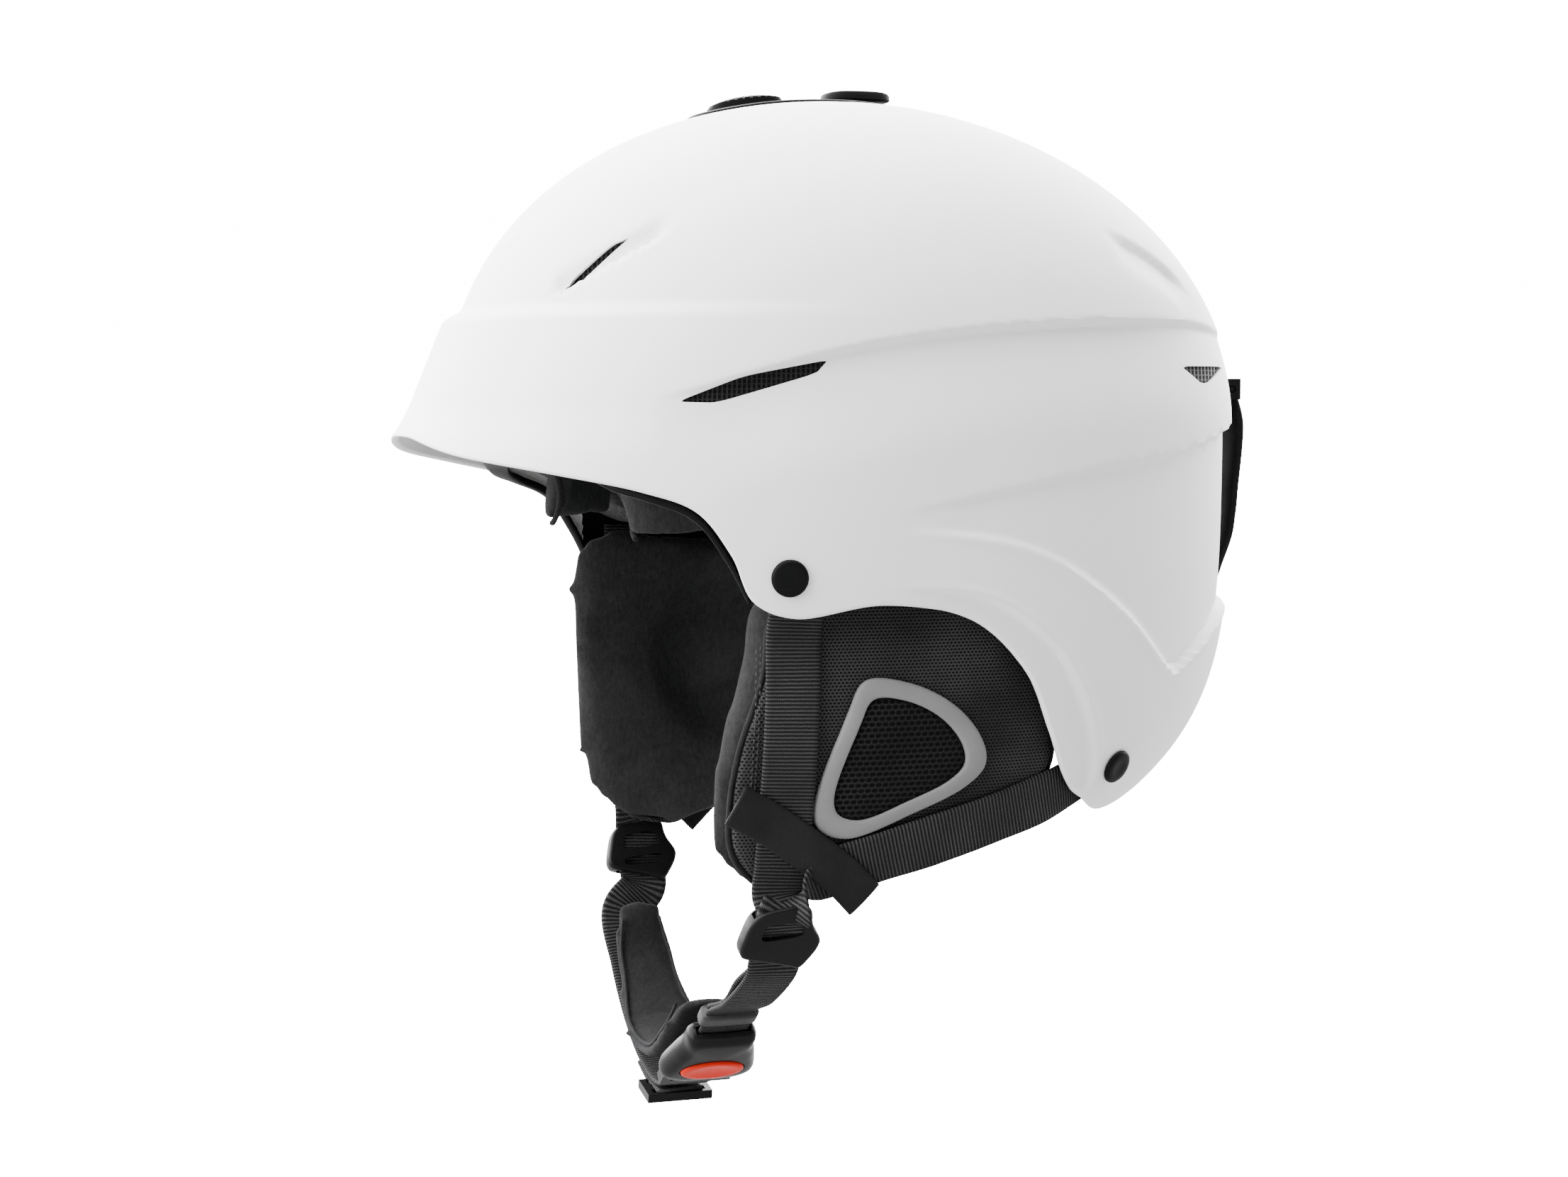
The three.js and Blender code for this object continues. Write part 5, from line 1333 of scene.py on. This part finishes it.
def chin_straps():
    across = (0, 1, 0)
    at = [by_divider(d) for d in (-6, 2, 10, 14)]
    at += [np.array([58, -44, -83]), at_buckle(-BUCKLE_HALF - 12, 0, -0.6)]
    at += [at_buckle(-BUCKLE_HALF - 4, 0, 0), at_buckle(-BUCKLE_HALF + 3, 0, 0)]
    place(ribbon("chin_webbing_left", at, across), "helmet", "webbing", "chin_strap_left")

    # The doubled tail lies against the head side of the strap and ends in a fold.
    tail = [p + TAIL_SHIFT for p in (at[3], np.array([66.5, -43.4, -76]), at[4], (at[4] + at[5]) / 2)]
    tail += [at_buckle(-BUCKLE_HALF - 12, 0.4, -3.0), at_buckle(-BUCKLE_HALF - 3, 0.3, -3.2)]
    place(ribbon("chin_webbing_tail", tail, (0, 1, 0.04), WEBBING_WIDTH - 1.2), "helmet", "webbing")
    keeper()

    # The right strap closes the loop: it bends between the divider and the tongue.
    at = [at_buckle(TONGUE_REACH, 0, -2.4)] + [chin_point(x, z) for x, z in CHIN_ROUTE]
    at += [by_divider(d, side=-1) for d in (12.8, 4, -6)]
    strap = ribbon("chin_webbing_right", at, across)
    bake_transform(strap)
    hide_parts("chin_strap_right")
    at = [chin_point(x, z) + np.array([1.6 * s, -0.4, -2.1]) for s, x, z in ADJUSTER_ROUTE]
    place(ribbon("adjuster_tail", at, across, WEBBING_WIDTH - 1), "chin_release", "webbing")


def keeper():
    """Elastic band round the doubled strap just above the buckle."""
    turn = full_turn(48)
    rings = []
    for along in np.linspace(-11, -5.5, 9):
        edge = 0.35 * (abs(along + 8.25) / 2.75) ** 6
        up = -1.4 + (3.1 - edge) * signed_power(np.sin(turn), 0.5)
        rings.append(at_buckle(along - BUCKLE_HALF, 9.3 * signed_power(np.cos(turn), 0.35), up))
    place(loft("strap_keeper", rings, KEEPER), "helmet", "smooth_tape")


def chin_sleeve():
    """The padded sleeve and a flatlock seam along each of its long edges."""
    centre = Curve([(x, CHIN_Y, z) for x, z in SLEEVE_ROUTE])
    t = centre.even(60)
    points = centre.at(t)
    ahead = unit(np.gradient(points, axis=0))
    out = np.column_stack([ahead[:, 2], 0 * t, -ahead[:, 0]])
    half = stops(SLEEVE_WIDTHS, t) / 2 - 1.0
    turn = full_turn(32)
    v, up = signed_power(np.cos(turn), 0.75), signed_power(np.sin(turn), 0.75)
    rings = []
    for i, share in enumerate(np.linspace(0, 1, 61)):
        ends = (1 - abs(2 * share - 1) ** 14) ** 0.5
        across = half[i] * (0.8 + 0.2 * ends) * np.multiply.outer(v, (0, 1, 0))
        rings.append(points[i] + across + np.multiply.outer(up, out[i] * (0.5 + 2.1 * ends)))
    pad = inflate(loft("chin_sleeve", rings, LINING), 2.6, 1.6, pressure=3.5)
    place(pad, "chin_release", "plush", "chin_pad")
    for name, side in (("front", -1), ("rear", 1)):
        line = points - 2.45 * out + np.multiply.outer(side * (half - 2.2), (0, 1, 0))
        place(seam(f"chin_seam_{name}", line[4:57], 0.55, closed=False), "chin_release", "plush")


# ------------------------------------------------------------------ vents, slider and goggle clip
# Turns and heights that each vent's grid covers before it is trimmed to the vent.
GRID_SPANS = {
    "side": ((50, 84), (97, 118)),
    "rear": ((124, 150), (103, 117)),
    "front": ((26, 48), (128, 156)),
}
GRID_INSETS = (1.1, 2.3)
KNOB_TOP = 201.9
KNOB_FOOT = 198.6
GRIP_WIDTH = 0.9
ABOVE = 215
# Sections as (share of the oval, height over the dome).
FRAME_SECTION = [(share, -2.2) for share in (0.05, 0.4, 0.8, 0.98)]
FRAME_SECTION += [(0.995, 0.1), (0.985, 0.6), (0.955, 0.85)]
FRAME_SECTION += [(share, 0.9) for share in (0.9, 0.7, 0.45, 0.2, 0.05)]


def vent_meshes():
    for name, matrix, outline in vent_frames():
        turns, heights = GRID_SPANS[name]
        degrees, z = np.meshgrid(np.linspace(*turns, 70), np.linspace(*heights, 36), indexing="ij")
        relief = shell_relief(degrees, z)
        faces = [dome(np.radians(degrees), z, inset + 0.9 * relief) for inset in GRID_INSETS]
        plate = between(f"{name}_vent_grid", *faces, GRID)
        combine(plate, [prism(rounded(outline, 0.05, 1), 0, VENT_REACH, GRID, matrix)], "INTERSECT")
        pair(sharp_smooth(plate, 40), "vent_mesh", f"{name}_vent_mesh")


def oval_plate(name, y_range, half_width, levels, count=72):
    """levels are (share of the outline, height function of x and y)."""
    rings = []
    for scale, height in levels:
        flat = oval(scale, y_range, half_width, count)
        rings.append(np.column_stack([flat, height(*flat.T)]))
    return loft(name, rings, BLACK)


def over(lift):
    return lambda x, y: dome_height(x, y) + lift


def hood_ridge(x, y):
    rise = np.sqrt(np.clip(1 - ((y + 27) / 13.2) ** 2, 0, 1)) * (1 - 0.25 * (x / 5.2) ** 2)
    return dome_height(x, y) + 1.0 + 2.9 * rise


def crown_frame():
    """The vent frame on the crown with its ribbed hood, four slots and the slider's track."""
    levels = [(share, over(lift)) for share, lift in FRAME_SECTION]
    body = oval_plate("crown_frame", (-45.7, 28.7), 14.7, levels)
    levels = [(0.97, over(-0.5)), (1, over(0.6)), (0.97, over(1.2))]
    levels += [(share, hood_ridge) for share in (0.9, 0.75, 0.55, 0.35, 0.15, 0.04)]
    combine(body, [oval_plate("hood", (-40, -14), 5.0, levels, 60)], "UNION")
    slots = [rectangle(x - 2.5, x + 2.5, y, y + PORT_LENGTH) for y in PORT_STARTS for x in (-7.5, 7.5)]
    openings = [rounded(slot) for slot in slots] + [rounded(rectangle(-2.9, 2.9, -4.2, 15.2), 0.12)]
    tools = [prism(opening, 170, ABOVE, BLACK) for opening in openings]
    for y in np.arange(-37, -17, 2.6):
        tools.append(prism(rectangle(-6, 6, y, y + GRIP_WIDTH), float(dome_height(0, y)) + 2.9, ABOVE, BLACK))
    combine(body, tools)
    place(sharp_smooth(body, 35), "helmet", "black_plastic", "crown_vent_frame")


def slider_knob():
    """The slider's domed knob with grip grooves, and the stem under it."""
    def top(drop):
        return lambda x, y: KNOB_TOP - drop - 0.95 * np.abs((y - 10.7) / 11.3) ** 4 - 0.25 * (x / 7.5) ** 2

    def flat(z):
        return lambda x, y: np.full(len(x), z)

    foot = ((0.05, 0), (0.8, 0), (0.96, 0.1), (1, 0.5))
    levels = [(share, flat(KNOB_FOOT + rise)) for share, rise in foot]
    levels += [(0.99, top(0.7)), (0.95, top(0.15))]
    levels += [(share, top(0)) for share in (0.88, 0.65, 0.4, 0.15, 0.04)]
    knob = oval_plate("slider_knob", (-0.6, 22), 7.5, levels)
    combine(knob, [prism(rectangle(-2.4, 2.4, 6.6, 14.6), 189.0, KNOB_FOOT + 0.3, BLACK)], "UNION")
    grips = [rectangle(-5, 5, y, y + GRIP_WIDTH) for y in (5.2, 7.6, 10.0, 12.4, 14.8)]
    combine(knob, [prism(grip, KNOB_TOP - 0.8, ABOVE, BLACK) for grip in grips])
    place(sharp_smooth(knob, 35), "vent_slider", "black_plastic", "vent_slider")


CLIP_TOP_Z = 107.0
CLIP_LOW_Z = 38.0
CLIP_PIVOT_Z = 105.3
CLIP_OFFSETS = [(0, 6.8), (0.22, 8.0), (0.55, 7.4), (1, 4.6)]
CLIP_HALF_WIDTHS = [(0, 18.6), (0.2, 21.5), (0.7, 18), (1, 11)]
HALF_PIN = [(0.1, 22.4), (0.8, 22.4), (1, 22.2), (1, 19), (1.9, 19)]


def wall_y(z):
    """The shell's rearmost point at a height."""
    return float(half_sizes(np.asarray(z, float), 0, 1)[2])


def goggle_clip():
    turn = full_turn(48)
    u, v = signed_power(np.cos(turn), 0.4), signed_power(np.sin(turn), 0.55)
    rings = []
    for t in np.linspace(0, 1, 70):
        z = CLIP_TOP_Z + (CLIP_LOW_Z - CLIP_TOP_Z) * t
        half = stops(CLIP_HALF_WIDTHS, t) * (1 - 0.35 * max(0, (t - 0.93) / 0.07) ** 2)
        pinch = 1.0 + 0.9 * (1 - max(0, 1 - 12 * min(t, 1 - t)) ** 2)
        dish = 0.45 * bell(u, 0.55) * swell(t, 0.1, 0.25, 0.8, 0.95)
        depth = np.where(v > 0, 1.25 * pinch * v - 0.6 * u * u - dish, pinch * v)
        face = wall_y(z) + stops(CLIP_OFFSETS, t) - 1.8
        rings.append(np.column_stack([half * u, face + depth, np.full(len(u), z)]))
    clip = loft("goggle_lever", rings, BLACK)
    profile = [(radius, -at) for radius, at in HALF_PIN] + HALF_PIN[::-1]
    pin = turned("pin", profile, (0, wall_y(CLIP_PIVOT_Z) + 2.4, CLIP_PIVOT_Z), (1, 0, 0), BLACK, 28)
    combine(clip, [pin], "UNION")
    place(sharp_smooth(clip, 38), "goggle_clip", "black_plastic", "goggle_clip")


# ------------------------------------------------------------------ CAD nodes that stay
FIXED_NODES = (
    "vent_shutter", "goggle_clip_lug_left", "goggle_clip_lug_right", "goggle_clip_snap", "fit_band_left",
    "fit_band_right", "fit_pinion",
)


def dress(material, edge, nodes):
    """Gives CAD nodes a finished material and rounds their sharp edges."""
    for name in nodes:
        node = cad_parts[name]
        node.data.materials.clear()
        node.data.materials.append(material)
        soften(node, edge, 40)


# ------------------------------------------------------------------ camera, light and floor
TARGET = Vector((0, -0.0137, 0.040))
CAMERA_AZIMUTH = math.radians(72)
CAMERA_ELEVATION = math.radians(4)
CAMERA_DISTANCE = 0.9
LENS = 62.98
FLOOR_BELOW = 0.06
FLOOR_HALF = 30.0
FLOOR_LIGHT = 0.3
BACKGROUND = 16.0
DIM_AZIMUTH = math.radians(108)
# From and to values of the cosine towards the dim side, then the room's brightness at each.
ROOM_LIGHT = (-0.32, 0.58, 13.0, 0.35)


def toward(azimuth, elevation):
    """The direction that lies at an azimuth from the front, towards the left, and an elevation."""
    level = math.cos(elevation)
    return Vector((math.sin(azimuth) * level, -math.cos(azimuth) * level, math.sin(elevation)))


def camera():
    back = toward(CAMERA_AZIMUTH, CAMERA_ELEVATION)
    data = bpy.data.cameras.new("camera")
    data.lens = LENS
    data.sensor_width = 36
    data.clip_end = 50
    obj = link("camera", data)
    obj.location = TARGET + back * CAMERA_DISTANCE
    obj.rotation_euler = back.to_track_quat("Z", "Y").to_euler()
    bpy.context.scene.camera = obj


def floor():
    """A plain pale floor that the camera sees as white and the helmet sees as dim."""
    n = Nodes("studio_floor")
    seen = n.new("ShaderNodeLightPath", {}, "Is Camera Ray")
    n.finish(
        Base_Color=n.mix(n.noise(3), (0.15, 0.15, 0.15, 1), (0.17, 0.17, 0.17, 1)),
        Roughness=0.95,
        Emission_Color=(1, 1, 1, 1),
        Emission_Strength=n.ramp(seen, 0, 1, FLOOR_LIGHT, BACKGROUND),
    )
    z = FRAME_BOUNDS[0][2] - FLOOR_BELOW
    mesh = bpy.data.meshes.new("floor")
    mesh.from_pydata([(x, y, z) for x, y in rectangle(*(-FLOOR_HALF, FLOOR_HALF) * 2)], [], [(0, 1, 2, 3)])
    mesh.materials.append(n.material)
    link("floor", mesh)


def room():
    """The room is brightest above and behind, and dimmest on the side that faces the darker wall."""
    world = bpy.context.scene.world or bpy.data.worlds.new("studio")
    bpy.context.scene.world = world
    world.use_nodes = True
    nodes, links = world.node_tree.nodes, world.node_tree.links
    facing = nodes.new("ShaderNodeVectorMath")
    facing.operation = "DOT_PRODUCT"
    links.new(nodes.new("ShaderNodeTexCoord").outputs["Generated"], facing.inputs[0])
    facing.inputs[1].default_value = (math.sin(DIM_AZIMUTH), -math.cos(DIM_AZIMUTH), -0.12)
    level = nodes.new("ShaderNodeMapRange")
    level.interpolation_type = "SMOOTHSTEP"
    links.new(facing.outputs["Value"], level.inputs["Value"])
    for socket, value in zip(("From Min", "From Max", "To Min", "To Max"), ROOM_LIGHT):
        level.inputs[socket].default_value = value
    choose = nodes.new("ShaderNodeMix")
    links.new(nodes.new("ShaderNodeLightPath").outputs["Is Camera Ray"], choose.inputs[0])
    links.new(level.outputs[0], choose.inputs[2])
    choose.inputs[3].default_value = BACKGROUND
    links.new(choose.outputs[0], nodes["Background"].inputs["Strength"])
    nodes["Background"].inputs["Color"].default_value = (1, 1, 1, 1)


def softbox(name, location, size, power):
    lamp = bpy.data.lights.new(name, "AREA")
    lamp.size = size
    lamp.energy = power
    light = link(name, lamp)
    light.location = Vector(location)
    light.rotation_euler = (Vector(location) - TARGET).to_track_quat("Z", "Y").to_euler()


# ------------------------------------------------------------------ assembly
make_shell()
liner()
liner_trim()
inner_pads()
ear_pads()
ear_panels()
ear_straps()
stitching()
rivets()
divider()
buckle()
chin_straps()
chin_sleeve()
vent_meshes()
crown_frame()
slider_knob()
goggle_clip()
dress(BLACK, 0.3, FIXED_NODES)
dress(BLACK, 0.7, ("fit_housing", "fit_dial"))
dress(GLOSS, 0.5, ("buckle_tongue", "strap_glide"))
camera()
floor()
room()
softbox("top_softbox", (0.3, -0.2, 1.5), 1.6, 9)
softbox("front_softbox", (0.7, -1.5, 0.5), 1.2, 6)
